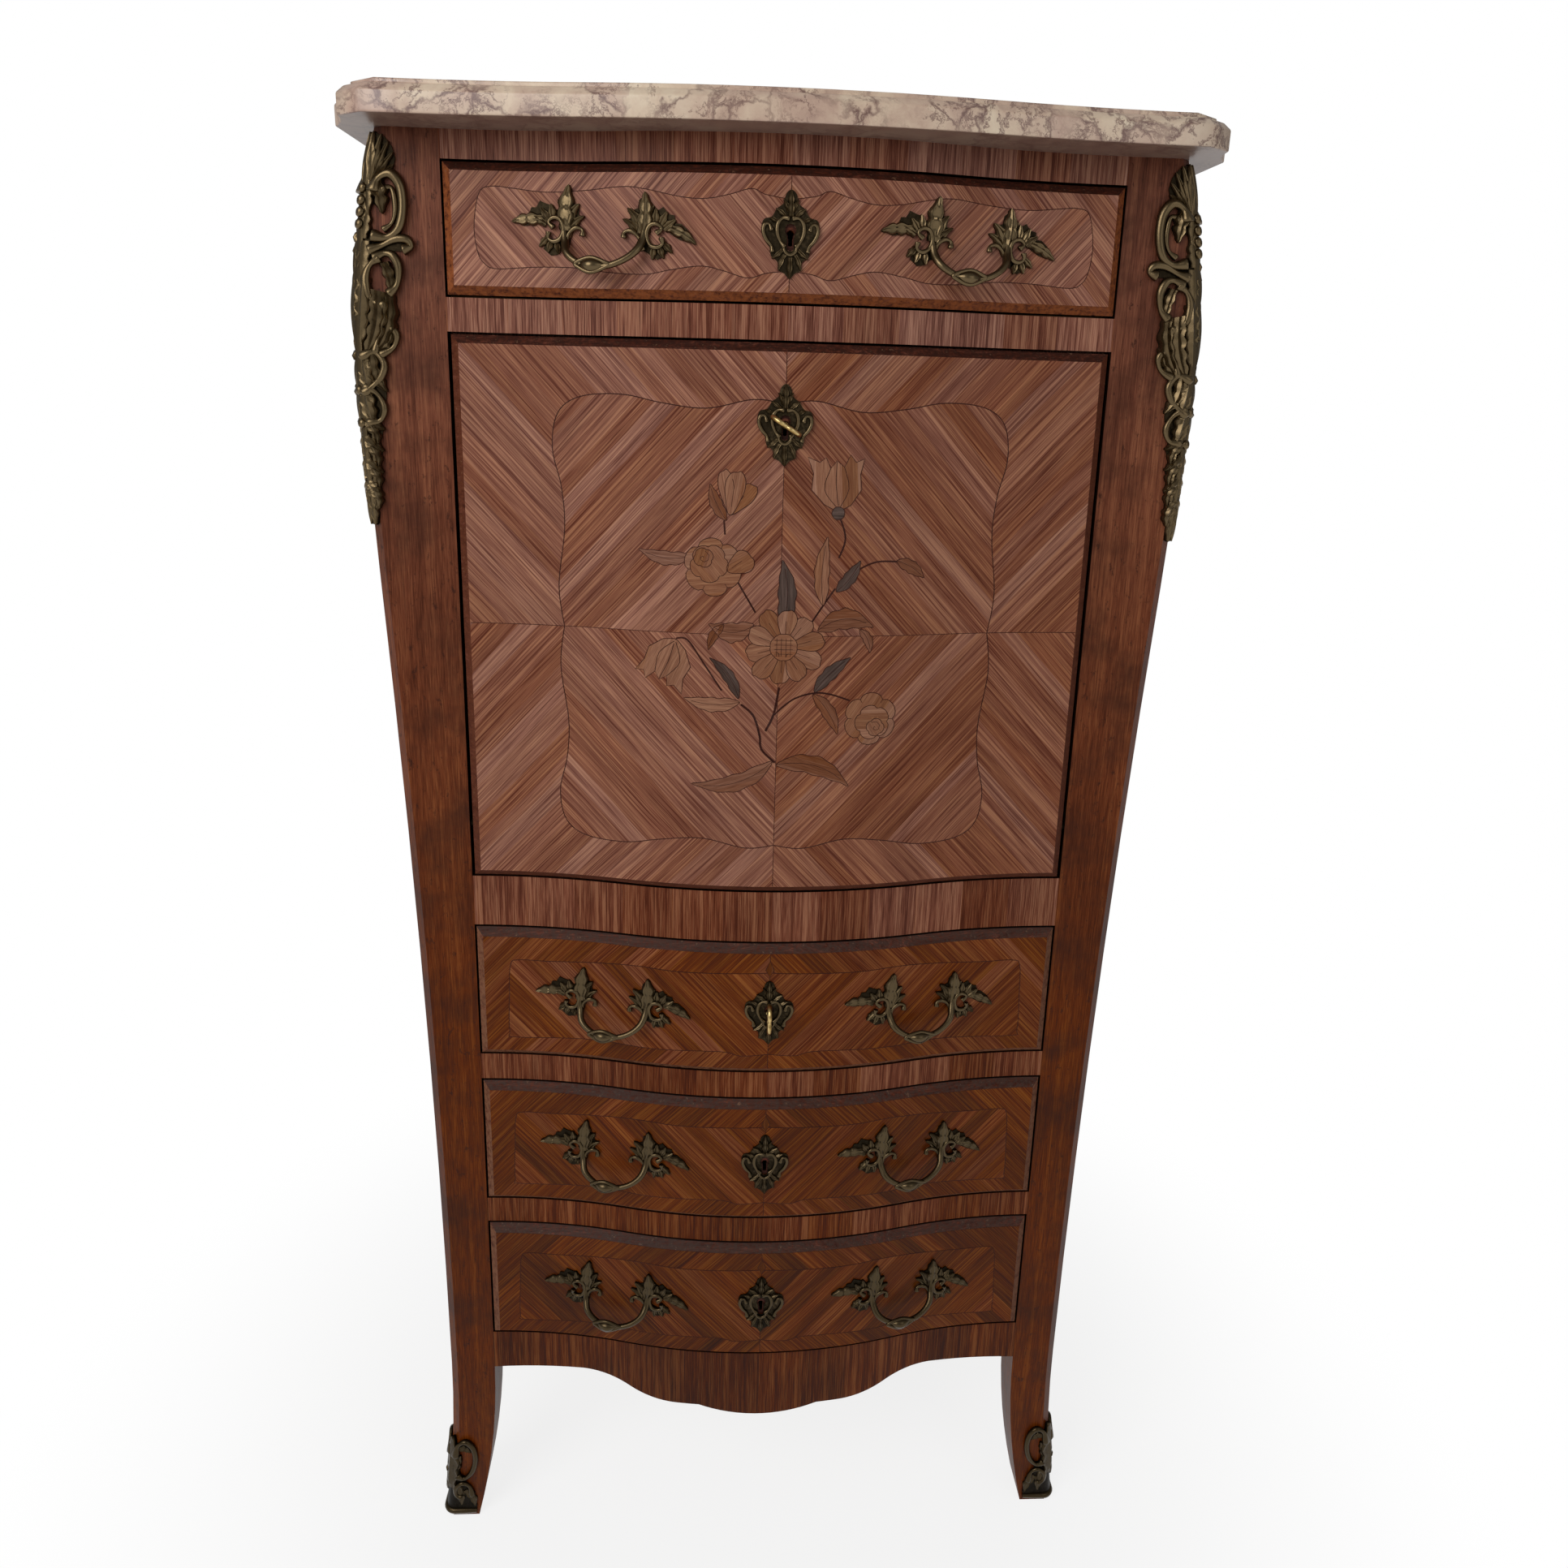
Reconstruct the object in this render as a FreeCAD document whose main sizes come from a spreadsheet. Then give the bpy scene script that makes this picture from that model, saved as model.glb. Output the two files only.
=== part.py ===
"""Fall-front writing cabinet on shaped legs, with a marble top and bronze mounts.

Millimetres, +Z up, front towards -Y. The origin is on the floor, below the middle of the marble.
"""
import FreeCAD, Part
import os
import re
from math import asin, copysign, degrees, sqrt, tan
from FreeCAD import Placement, Rotation, Vector

doc = FreeCAD.newDocument("escritoire")
sheet = doc.addObject("Spreadsheet::Sheet", "Sizes")

# Driving dimensions
SIZES = {
    # Case, in plan
    "overall_depth": 390,
    "opening_width": 560,
    "bulge": 34.5,
    "front_overhang": 40.5,
    "back_overhang": 3,
    "side_overhang": 12.5,
    "post_depth": 45,
    "rear_post_depth": 42,
    "cant_width": 8,
    "side_flare": 6,
    # Case, from the floor up
    "plinth_height": 246,
    "drawer_opening": 139,
    "drawer_rail_height": 27.5,
    "writing_rail_height": 50,
    "flap_opening": 488,
    "upper_rail_height": 27,
    "upper_opening": 105,
    "top_rail_height": 22,
    # Width of a front post from the opening to its swelling outer arris, and the heights where it turns
    "toe_width": 52,
    "waist_width": 39,
    "waist_height": 200,
    "chest_drop": 166,
    "shoulder_width": 66,
    "shoulder_drop": 190,
    "neck_width": 44,
    # Legs and aprons
    "toe_inner": 24,
    "leg_spring_drop": 45,
    "apron_shelf_drop": 41,
    "apron_lobe_depth": 78,
    "apron_lobe_half": 62,
    "apron_lobe_drop": 10,
    "apron_step": 24,
    "apron_ogee_half": 185,
    "side_apron_drop": 50,
    "side_apron_rise": 22,
    # Marble
    "marble_body": 22,
    "marble_strip": 4,
    "marble_strip_inset": 9,
    "marble_chamfer": 6,
    "marble_bulge": 24,
    "marble_cant_width": 22,
    "marble_cant_depth": 18,
    "marble_ear_width": 15,
    "marble_ear_depth": 62,
    "marble_ear_hollow": 3,
    "marble_side_hollow": 3,
    "marble_back_flare": 9.5,
    # Boards inside
    "panel_thickness": 22,
    "back_thickness": 12,
    "back_inset": 10,
    "top_board_thickness": 18,
    "dust_thickness": 12,
    "guide_width": 20,
    "guide_height": 18,
    # Drawers
    "front_proud": 7,
    "front_chamfer": 7,
    "front_gap": 2,
    "drawer_inner": 15,
    "drawer_rear_gap": 25,
    "drawer_wall": 10,
    "drawer_bottom": 6,
    "drawer_headroom": 25,
    "running_gap": 0.3,
    "side_play": 1.5,
    # Flap
    "flap_gap": 3,
    "flap_inner": 18,
    "flap_heel": 50,
    "pivot_setback": 6,
    "pivot_diameter": 8,
    "pivot_reach": 16,
    "pivot_play": 0.3,
    "scoop_clearance": 1,
    "leather_thickness": 1.2,
    "leather_margin": 42,
    "stop_drop": 10,
    "stop_thickness": 12,
    # Desk behind the flap
    "floor_thickness": 12,
    "gallery_setback": 102,
    "gallery_board": 8,
    "gallery_side": 10,
    "small_opening": 70,
    "pigeonhole_height": 190,
    "pigeonhole_half": 93,
    "small_wall": 6,
    "small_front": 10,
    "small_play": 1,
    "knob_diameter": 12,
    "knob_reach": 14,
    # Locks and keys
    "lock_width": 50,
    "lock_depth": 8,
    "lock_plate": 1.5,
    "lock_below_key": 14,
    "flap_key_drop": 65,
    "bolt_width": 18,
    "bolt_thickness": 4,
    "bolt_travel": 8,
    "bolt_play": 0.3,
    "bit_length": 8.5,
    "bit_width": 2.5,
    "shank_diameter": 5,
    "shank_reach": 3,
    "bow_width": 20,
    "bow_height": 30,
    "bow_wire": 4,
    "keyhole_diameter": 7,
    "keyhole_slot": 3.5,
    # Bronze mounts
    "pull_station": 147,
    "pull_standoff": 18,
    "pull_bail": 8,
    "pull_plate": 4,
    "pull_span": 38,
    "pull_drop": 30,
    "escutcheon_width": 47,
    "escutcheon_height": 66,
    "escutcheon_plate": 2.5,
    "mount_relief": 7,
    "mount_height": 312,
    "mount_drop": 4,
    "mount_wrap": 8,
    "sabot_relief": 6,
    "sabot_height": 110,
}
for row, (name, value) in enumerate(SIZES.items(), start=1):
    sheet.set("B%d" % row, str(value))
    sheet.setAlias("B%d" % row, name)
doc.recompute()

# Levels and planes that follow from the driving dimensions
DERIVED = {
    "half_opening": "opening_width / 2",
    "toe_half": "half_opening + toe_width",
    "toe_inner_half": "half_opening + toe_inner",
    "waist_half": "half_opening + waist_width",
    "shoulder_half": "half_opening + shoulder_width",
    "neck_half": "half_opening + neck_width",
    "marble_back_half": "shoulder_half + cant_width + side_flare + side_overhang",
    "marble_ear_half": "marble_back_half - marble_back_flare",
    "marble_cant_half": "marble_ear_half - marble_ear_width",
    "marble_front_half": "marble_cant_half - marble_cant_width",
    "case_back": "overall_depth / 2 - back_overhang",
    "post_front": "front_overhang + bulge - overall_depth / 2",
    "bulge_front": "post_front - bulge - front_proud",
    "post_back": "post_front + post_depth",
    "rear_post_front": "case_back - rear_post_depth",
    "back_panel_front": "case_back - back_inset - back_thickness",
    "third_head": "plinth_height + drawer_opening",
    "second_sill": "third_head + drawer_rail_height",
    "second_head": "second_sill + drawer_opening",
    "first_sill": "second_head + drawer_rail_height",
    "first_head": "first_sill + drawer_opening",
    "flap_sill": "first_head + writing_rail_height",
    "flap_head": "flap_sill + flap_opening",
    "upper_sill": "flap_head + upper_rail_height",
    "upper_head": "upper_sill + upper_opening",
    "case_top": "upper_head + top_rail_height",
    "shoulder_height": "case_top - shoulder_drop",
    "chest_height": "shoulder_height - chest_drop",
    "leg_spring_height": "plinth_height - leg_spring_drop",
    "apron_shelf_height": "plinth_height - apron_shelf_drop",
    "apron_lobe_height": "plinth_height - apron_lobe_depth",
    "drawer_back_plane": "post_front + drawer_inner",
    "drawer_rear": "back_panel_front - drawer_rear_gap",
    "flap_back_plane": "post_front + flap_inner",
    "flap_low": "flap_sill + front_gap",
    "flap_half": "half_opening - flap_gap",
    "pivot_y": "post_front + pivot_setback",
    "pivot_z": "flap_low + flap_heel",
    "floor_low": "pivot_z + flap_inner - pivot_setback + running_gap",
    "floor_top": "floor_low + floor_thickness",
    "gallery_front": "flap_back_plane + gallery_setback",
    "shelf_low": "floor_top + small_opening",
    "shelf_top": "shelf_low + gallery_board",
    "upper_shelf_low": "shelf_top + pigeonhole_height",
    "ceiling": "upper_sill - dust_thickness",
}


def formula(text):
    """Spell a formula out, so that each name in it is a cell of the sheet."""
    def spell(match):
        name = match.group()
        if name in DERIVED:
            return "(" + formula(DERIVED[name]) + ")"
        return "Sizes." + name
    return re.sub("[a-z][a-z_]+", spell, text)


def size(text):
    return float(sheet.evalExpression(formula(text)))


def board(name, x, y, z):
    """A squared piece between a low and a high formula along each axis."""
    box = doc.addObject("Part::Box", name)
    for axis, side, (low, high) in zip("xyz", ("Length", "Width", "Height"), (x, y, z)):
        box.setExpression("Placement.Base." + axis, formula(low))
        box.setExpression(side, formula("(%s) - (%s)" % (high, low)))
    return box


def rod(name, diameter, start, axis, length):
    """A round bar or bore from a start point along an axis."""
    bar = doc.addObject("Part::Cylinder", name)
    bar.Placement = Placement(Vector(), Rotation(Vector(0, 0, 1), axis))
    for letter, place in zip("xyz", start):
        bar.setExpression("Placement.Base." + letter, formula(place))
    bar.setExpression("Radius", formula("(%s) / 2" % diameter))
    bar.setExpression("Height", formula(length))
    return bar


def shaped(name, shape):
    piece = doc.addObject("Part::Feature", name)
    piece.Shape = shape
    return piece


def joined(name, pieces):
    fuse = doc.addObject("Part::MultiFuse", name)
    fuse.Shapes = pieces
    return fuse


def cut(name, base, tools):
    piece = doc.addObject("Part::Cut", name)
    piece.Base = base
    piece.Tool = tools[0] if len(tools) == 1 else joined(name + "_cutters", tools)
    return piece


def common(name, base, tool):
    piece = doc.addObject("Part::Common", name)
    piece.Base = base
    piece.Tool = tool
    return piece


def mirrored(name, source):
    piece = doc.addObject("Part::Mirroring", name)
    piece.Source = source
    piece.Normal = Vector(1, 0, 0)
    return piece


def group(name, pieces):
    compound = doc.addObject("Part::Compound", name)
    compound.Links = pieces
    return compound


def path(points):
    return [Part.makeLine(a, b) for a, b in zip(points, points[1:])]


def arcs(points):
    """Arcs end to end: every second point is a joint, and each arc bends through the point between."""
    return [Part.Arc(*points[first:first + 3]).toShape() for first in range(0, len(points) - 2, 2)]


def bowed(start, end, leaving):
    """Arc that leaves its start along a direction and runs to its end."""
    chord = end - start
    side = (leaving - chord * (leaving.dot(chord) / chord.dot(chord))).normalize()
    sagitta = chord.Length / 2 * tan(leaving.getAngle(chord) / 2)
    return Part.Arc(start, (start + end) / 2 + side * sagitta, end).toShape()


def filled(edges):
    return Part.Face(Part.Wire(Part.sortEdges(edges)[0]))


nodes = []


def node(label, piece):
    """Register a finished piece of the cabinet under its own name."""
    piece.Label = label
    nodes.append(piece)
    return piece


# Serpentine front: a swell in the middle and a hollow beside each post, all of one radius
JOINTS = (-1, -0.75, -0.5, 0, 0.5, 0.75, 1)


def swell(x, half, rise):
    """How far a serpentine stands out at x, and how steeply it leans there."""
    radius = (half * half + rise * rise) / (4 * rise)
    near = min(abs(x), half - abs(x))
    sagitta = radius - sqrt(radius * radius - near * near)
    lean = copysign(asin(near / radius), x)
    return (rise - sagitta if abs(x) < half / 2 else sagitta), lean


def bulge_at(x):
    return swell(x, size("half_opening"), size("bulge"))[0]


def serpentine_block(name, proud):
    """All that lies behind the front, where it stands proud of the post plane by a given amount."""
    half = size("half_opening")
    back = size("overall_depth / 2")
    front = size("post_front - " + proud)
    points = [Vector(half * share, front - bulge_at(half * share), 0) for share in JOINTS]
    rest = path([points[-1], Vector(half, back, 0), Vector(-half, back, 0), points[0]])
    return shaped(name, filled(arcs(points) + rest).extrude(Vector(0, 0, size("case_top"))))


rail_block = serpentine_block("rail_block", "0")
front_block = serpentine_block("front_block", "front_proud")

# Flanks: each flank is drawn in at the waist, swells to the shoulder and is drawn in under the marble
UP, DOWN = Vector(0, 0, 1), Vector(0, 0, -1)


def arris_arcs(outward=0):
    """Outer arris of a front post, upright at the waist and at the shoulder."""
    def place(half, height):
        return Vector(size(half) + outward, 0, size(height))
    waist, shoulder = place("waist_half", "waist_height"), place("shoulder_half", "shoulder_height")
    chest = waist + (shoulder - waist) * size("(chest_height - waist_height) / (shoulder_height - waist_height)")
    return [bowed(waist, place("toe_half", "0"), DOWN), bowed(waist, chest, UP),
            bowed(shoulder, chest, DOWN), bowed(shoulder, place("neck_half", "case_top"), UP)]


def flank_shape(grow=0):
    """Right flank with its canted corner, all its outer faces moved outwards by grow."""
    ease = grow * (sqrt(2) - 1)
    cant = size("cant_width") + grow - ease
    core = size("half_opening - post_depth")
    top = size("case_top")
    toe = Vector(size("toe_half") + ease, 0, 0)
    neck = Vector(size("neck_half") + ease, 0, top)
    face = filled(arris_arcs(ease) + path([neck, Vector(core, 0, top), Vector(core, 0, 0), toe]))
    face.translate(Vector(0, size("post_front") - grow, 0))
    corner = face.extrude(Vector(cant, cant, 0))
    face.translate(Vector(cant, cant, 0))
    run = size("case_back") - size("post_front") + grow - cant
    return corner.fuse(face.extrude(Vector(size("side_flare"), run, 0)))


flank = shaped("flank", flank_shape())
inner_flank = flank.Shape.copy()
inner_flank.translate(Vector(-size("panel_thickness"), 0, 0))
flank_shell = shaped("flank_shell", flank.Shape.cut(inner_flank))

# Posts: squared inside, with a leg that curves out to its toe


def leg_hollow_shape():
    top = Vector(size("half_opening"), 0, size("leg_spring_height"))
    foot = Vector(size("toe_inner_half"), 0, 0)
    clear = size("half_opening - post_depth")
    inside = path([foot, Vector(clear, 0, 0), Vector(clear, 0, top.z), top])
    face = filled([bowed(top, foot, DOWN)] + inside)
    face.translate(Vector(0, -size("overall_depth"), 0))
    return face.extrude(Vector(0, 2 * size("overall_depth"), 0))


leg_hollow = shaped("leg_hollow", leg_hollow_shape())
outside = ("half_opening", "half_opening + overall_depth")
pivot_bore = rod("pivot_bore", "pivot_diameter + 2 * pivot_play",
                 ("half_opening - pivot_reach", "pivot_y", "pivot_z"), Vector(1, 0, 0),
                 "2 * pivot_reach + pivot_play")
front_blank = board("front_post_blank", outside, ("post_front", "post_back"), ("0", "case_top"))
front_leg = common("front_post_flank", flank, front_blank)
right_post = node("right_front_post", cut("right_front_post", front_leg, [leg_hollow, pivot_bore]))
node("left_front_post", mirrored("left_front_post", right_post))
rear_blank = board("rear_post_blank", outside, ("rear_post_front", "case_back"), ("0", "case_top"))
rear_leg = common("rear_post_flank", flank, rear_blank)
right_rear_post = node("right_rear_post", cut("right_rear_post", rear_leg, [leg_hollow]))
node("left_rear_post", mirrored("left_rear_post", right_rear_post))

# Side panels between the posts, and the shaped apron below each of them
between = ("post_back", "rear_post_front")
panel_blank = board("side_panel_blank", outside, between, ("plinth_height", "case_top"))
right_panel = node("right_side_panel", common("right_side_panel", flank_shell, panel_blank))
node("left_side_panel", mirrored("left_side_panel", right_panel))


def side_apron_shape():
    """Outline of a side apron, arched along its lower edge, as a block across the case."""
    front, back = size("post_back"), size("rear_post_front")
    top, low = size("plinth_height"), size("plinth_height - side_apron_drop")
    crown = Vector(0, (front + back) / 2, low + size("side_apron_rise"))
    arch = Part.Arc(Vector(0, front, low), crown, Vector(0, back, low)).toShape()
    sides = path([Vector(0, back, low), Vector(0, back, top), Vector(0, front, top), Vector(0, front, low)])
    return filled([arch] + sides).extrude(Vector(size("overall_depth + half_opening"), 0, 0))


apron_block = shaped("side_apron_block", side_apron_shape())
right_side_apron = common("right_side_apron", flank_shell, apron_block)
left_side_apron = mirrored("left_side_apron", right_side_apron)
node("side_aprons", group("side_aprons", [right_side_apron, left_side_apron]))

# Back, top and dust boards, with a pair of guides beside each drawer
across = ("-half_opening", "half_opening")
housed = ("-half_opening - guide_width", "half_opening + guide_width")
node("back_panel", board("back_panel", across, ("back_panel_front", "case_back - back_inset"),
                         ("plinth_height", "case_top")))
node("top_board", board("top_board", housed, between, ("case_top - top_board_thickness", "case_top")))
dust_boards = []
guides = []
for level in ("plinth_height", "second_sill", "first_sill", "upper_sill"):
    dust_boards.append(board("dust_board", housed, between, (level + " - dust_thickness", level)))
    beside = ("half_opening", "half_opening + guide_width")
    guide = board("drawer_guide", beside, between, (level, level + " + guide_height"))
    guides += [guide, mirrored("drawer_guide_left", guide)]
dust_boards.append(board("well_board", housed, between, ("first_head", "first_head + dust_thickness")))
node("dust_boards", group("dust_boards", dust_boards + guides))

# Fronts that lock: the opening each one fills, its inner face, its key and the rail its bolt shoots into
LOCKED = {
    "upper_drawer": ("upper_sill", "upper_head", "drawer_back_plane", "upper_opening / 2 - front_gap"),
    "first_drawer": ("first_sill", "first_head", "drawer_back_plane", "drawer_opening / 2 - front_gap"),
    "second_drawer": ("second_sill", "second_head", "drawer_back_plane", "drawer_opening / 2 - front_gap"),
    "third_drawer": ("plinth_height", "third_head", "drawer_back_plane", "drawer_opening / 2 - front_gap"),
    "flap": ("flap_sill", "flap_head", "flap_back_plane", "flap_key_drop"),
}
bolt_half = "bolt_width / 2"
lock_core = "(lock_depth - bolt_thickness) / 2"


def bolt_mortise(name):
    """Mortise for a lock's bolt in the rail above its front."""
    sill, head, back, drop = LOCKED[name]
    play = " + 2 * bolt_play"
    return board(name + "_mortise", ("-" + bolt_half + " - 2 * bolt_play", bolt_half + play),
                 ("%s - lock_depth + %s - 2 * bolt_play" % (back, lock_core),
                  "%s - %s + 2 * bolt_play" % (back, lock_core)),
                 (head, head + " + bolt_travel"))


def rail_stock(name, low, high):
    stock = board(name + "_stock", across, ("bulge_front", "post_back"), (low, high))
    return common(name + "_curved", stock, rail_block)


# Rails between the front posts, cut to the serpentine
node("top_rail", cut("top_rail", rail_stock("top_rail", "upper_head", "case_top"),
                     [bolt_mortise("upper_drawer")]))
node("first_rail", cut("first_rail", rail_stock("first_rail", "second_head", "first_sill"),
                       [bolt_mortise("second_drawer")]))
node("second_rail", cut("second_rail", rail_stock("second_rail", "third_head", "second_sill"),
                        [bolt_mortise("third_drawer")]))

# The upper rail carries a stop strip that the flap shuts against
stop_front = "flap_back_plane + running_gap"
stop_strip = board("stop_strip", across, (stop_front, stop_front + " + stop_thickness"),
                   ("flap_head - stop_drop", "flap_head"))
upper_stock = joined("upper_rail_stock", [rail_stock("upper_rail", "flap_head", "upper_sill"), stop_strip])
node("upper_rail", cut("upper_rail", upper_stock, [bolt_mortise("flap")]))


SCOOP_STEPS = 8


def scoop_shape():
    """Hollow that the bevelled foot of the flap sweeps when it turns about its pivots, turned in short cones."""
    half = size("half_opening + scoop_clearance")
    heel, bevel = size("flap_heel"), size("front_chamfer")
    inward = size("flap_inner - pivot_setback")
    points = []
    for step in range(-SCOOP_STEPS, SCOOP_STEPS + 1):
        share = step / SCOOP_STEPS
        outward = bulge_at(share * size("half_opening")) + size("front_proud + pivot_setback")
        corners = [(outward - bevel, heel), (outward, heel - bevel), (inward, heel)]
        reach = max(sqrt(a * a + b * b) for a, b in corners) + size("scoop_clearance")
        points.append(Vector(half * share, 0, -reach))
    points += [Vector(half, 0, 0), Vector(-half, 0, 0)]
    turned = filled(path(points + points[:1])).revolve(Vector(), Vector(1, 0, 0), 360)
    turned.translate(Vector(0, size("pivot_y"), size("pivot_z")))
    return turned


# The writing rail is scooped behind its front edge, so that the flap can turn down past it
scoop = shaped("flap_scoop", scoop_shape())
node("writing_rail", cut("writing_rail", rail_stock("writing_rail", "first_head", "flap_sill"),
                         [scoop, bolt_mortise("first_drawer")]))

# Front apron: a level shelf beside each leg, an ogee and a lobe in the middle


def apron_outline():
    half, ogee, lobe = size("half_opening"), size("apron_ogee_half"), size("apron_lobe_half")
    shelf, low = size("apron_shelf_height"), size("apron_lobe_height")
    cusp = low + size("apron_lobe_drop")
    step = lobe + size("apron_step")
    top = size("plinth_height")
    edges = path([Vector(-half, 0, top), Vector(half, 0, top)])
    edges.append(Part.Arc(Vector(lobe, 0, cusp), Vector(0, 0, low), Vector(-lobe, 0, cusp)).toShape())
    for hand in (-1, 1):
        out = Vector(hand, 0, 0)
        knee, heel = out * ogee + UP * shelf, out * step + UP * cusp
        bend = (knee + heel) / 2
        edges += path([out * half + UP * top, out * half + UP * size("leg_spring_height"), knee])
        edges += [bowed(knee, bend, -out), bowed(heel, bend, out)]
        edges += path([heel, out * lobe + UP * cusp])
    face = filled(edges)
    face.translate(Vector(0, -size("overall_depth"), 0))
    return face.extrude(Vector(0, 2 * size("overall_depth"), 0))


apron_cutter = shaped("apron_outline", apron_outline())
node("front_apron", common("front_apron", rail_stock("front_apron", "0", "plinth_height"), apron_cutter))

# Marble slab: serpentine front, canted ears, hollow sides, chamfered upper edge and a raised strip


def marble_outline(inset=0):
    """Plan of the marble, drawn in from its front and sides by an inset."""
    front = inset - size("overall_depth / 2")
    corner = front + size("marble_bulge")
    half = size("marble_front_half") - inset
    nose = [Vector(half * share, corner - swell(half * share, half, size("marble_bulge"))[0], 0)
            for share in JOINTS]
    back = size("overall_depth / 2")
    cant = Vector(size("marble_cant_half") - inset, corner + size("marble_cant_depth"), 0)
    ear = Vector(size("marble_ear_half") - inset, corner + size("marble_ear_depth"), 0)
    rear = Vector(size("marble_back_half") - inset, back, 0)
    edges = arcs(nose) + path([rear, Vector(-rear.x, back, 0)])
    for hand in (-1, 1):
        run = [Vector(hand * p.x, p.y, 0) for p in (nose[-1], cant, ear, rear)]
        edges += path(run[:2])
        for start, end, hollow in zip(run[1:], run[2:], ("marble_ear_hollow", "marble_side_hollow")):
            middle = (start + end) / 2 - Vector(hand * size(hollow), 0, 0)
            edges.append(Part.Arc(start, middle, end).toShape())
    return filled(edges)


def marble_shape():
    slab = marble_outline().extrude(Vector(0, 0, size("marble_body")))
    back = size("overall_depth / 2")
    lip = [edge for edge in slab.Edges
           if edge.BoundBox.ZMin > size("marble_body / 2") and edge.BoundBox.YMin < back - size("marble_body")]
    slab = slab.makeChamfer(size("marble_chamfer"), lip)
    strip = marble_outline(size("marble_strip_inset")).extrude(Vector(0, 0, size("marble_strip")))
    strip.translate(Vector(0, 0, size("marble_body")))
    slab = slab.fuse(strip)
    slab.translate(Vector(0, 0, size("case_top")))
    return slab


node("marble_top", shaped("marble_top", marble_shape()))

# Drawer fronts and flap: veneered blanks with a bevel all round, recessed behind for the lock


def bevelled(name, blank):
    """Bevel the edges round the serpentine face of a front."""
    doc.recompute()
    curved = [face for face in blank.Shape.Faces if face.Surface.TypeId != "Part::GeomPlane"]
    rims = [edge for face in curved for edge in face.Edges]
    bevel = size("front_chamfer")
    piece = doc.addObject("Part::Chamfer", name + "_bevelled")
    piece.Base = blank
    piece.Edges = [(number, bevel, bevel) for number, edge in enumerate(blank.Shape.Edges, start=1)
                   if sum(edge.isSame(rim) for rim in rims) == 1]
    return piece


def front_stock(name, side_gap):
    sill, head, back, drop = LOCKED[name]
    stock = board(name + "_stock", ("%s - half_opening" % side_gap, "half_opening - " + side_gap),
                  ("bulge_front", back), (sill + " + front_gap", head + " - front_gap"))
    return bevelled(name, common(name + "_curved", stock, front_block))


def key_height(name):
    sill, head, back, drop = LOCKED[name]
    return "%s - front_gap - (%s)" % (head, drop)


def keyhole(name, prefix):
    """Keyhole through a front or its escutcheon: a round eye above a slot for the bit."""
    back = LOCKED[name][2]
    height = key_height(name)
    deep = ("bulge_front - overall_depth / 2", back)
    eye = rod(prefix + "_eye", "keyhole_diameter", ("0", back, height), Vector(0, -1, 0), "overall_depth / 2")
    slot = board(prefix + "_slot", ("-keyhole_slot / 2", "keyhole_slot / 2"), deep,
                 (height + " - bit_length - 2 * bolt_play", height))
    return [eye, slot]


def lock_block(name, prefix):
    """The space that a lock takes up in the back of its front."""
    sill, head, back, drop = LOCKED[name]
    return board(prefix, ("-lock_width / 2", "lock_width / 2"), (back + " - lock_depth", back),
                 (key_height(name) + " - lock_below_key", head + " - front_gap"))


bit_sweep = "(bit_length + 2 * bolt_play)"
bit_depth = "lock_depth - 2 * lock_plate"


def lock_and_bolt(name):
    """Brass lock case let into the back of a front, and the bolt that slides up out of it."""
    sill, head, back, drop = LOCKED[name]
    height = key_height(name)
    top = head + " - front_gap"
    bolt_foot = height + " + bit_length + 3 * bolt_play"
    near = "%s - lock_depth + %s" % (back, lock_core)
    far = "%s - %s" % (back, lock_core)
    channel = board(name + "_channel", ("-%s - bolt_play" % bolt_half, bolt_half + " + bolt_play"),
                    (near + " - bolt_play", far + " + bolt_play"), (height, top))
    inside = back + " - lock_plate"
    well = board(name + "_bit_well", ("-" + bit_sweep, bit_sweep), ("%s - (%s)" % (inside, bit_depth), inside),
                 (height + " - " + bit_sweep, height + " + " + bit_sweep))
    mouth = board(name + "_key_mouth", ("-keyhole_diameter / 2", "keyhole_diameter / 2"),
                  (back + " - lock_depth", inside),
                  (height + " - " + bit_sweep, height + " + keyhole_diameter / 2"))
    case = lock_block(name, name + "_lock_stock")
    node(name + "_lock", cut(name + "_lock", case, [channel, well, mouth]))
    node(name + "_bolt", board(name + "_bolt", ("-" + bolt_half, bolt_half), (near, far),
                               (bolt_foot, top + " - 2 * bolt_play")))


def drawer_box_of(name):
    """Open box behind a drawer front, running on the dust board between the guides."""
    sill, head, back, drop = LOCKED[name]
    half = "half_opening - side_play"
    base = sill + " + running_gap"
    outer = board(name + "_box_stock", ("-(%s)" % half, half), (back, "drawer_rear"),
                  (base, head + " - drawer_headroom"))
    inner = board(name + "_box_hollow", ("drawer_wall - (%s)" % half, half + " - drawer_wall"),
                  (back + " + drawer_wall", "drawer_rear - drawer_wall"),
                  (base + " + drawer_bottom", head))
    return cut(name + "_box", outer, [inner])


fronts = {}
for drawer in ("upper_drawer", "first_drawer", "second_drawer", "third_drawer"):
    recess = [lock_block(drawer, drawer + "_recess")] + keyhole(drawer, drawer)
    fronts[drawer] = node(drawer + "_front", cut(drawer + "_front", front_stock(drawer, "front_gap"), recess))
    node(drawer + "_box", drawer_box_of(drawer))
    lock_and_bolt(drawer)

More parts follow.
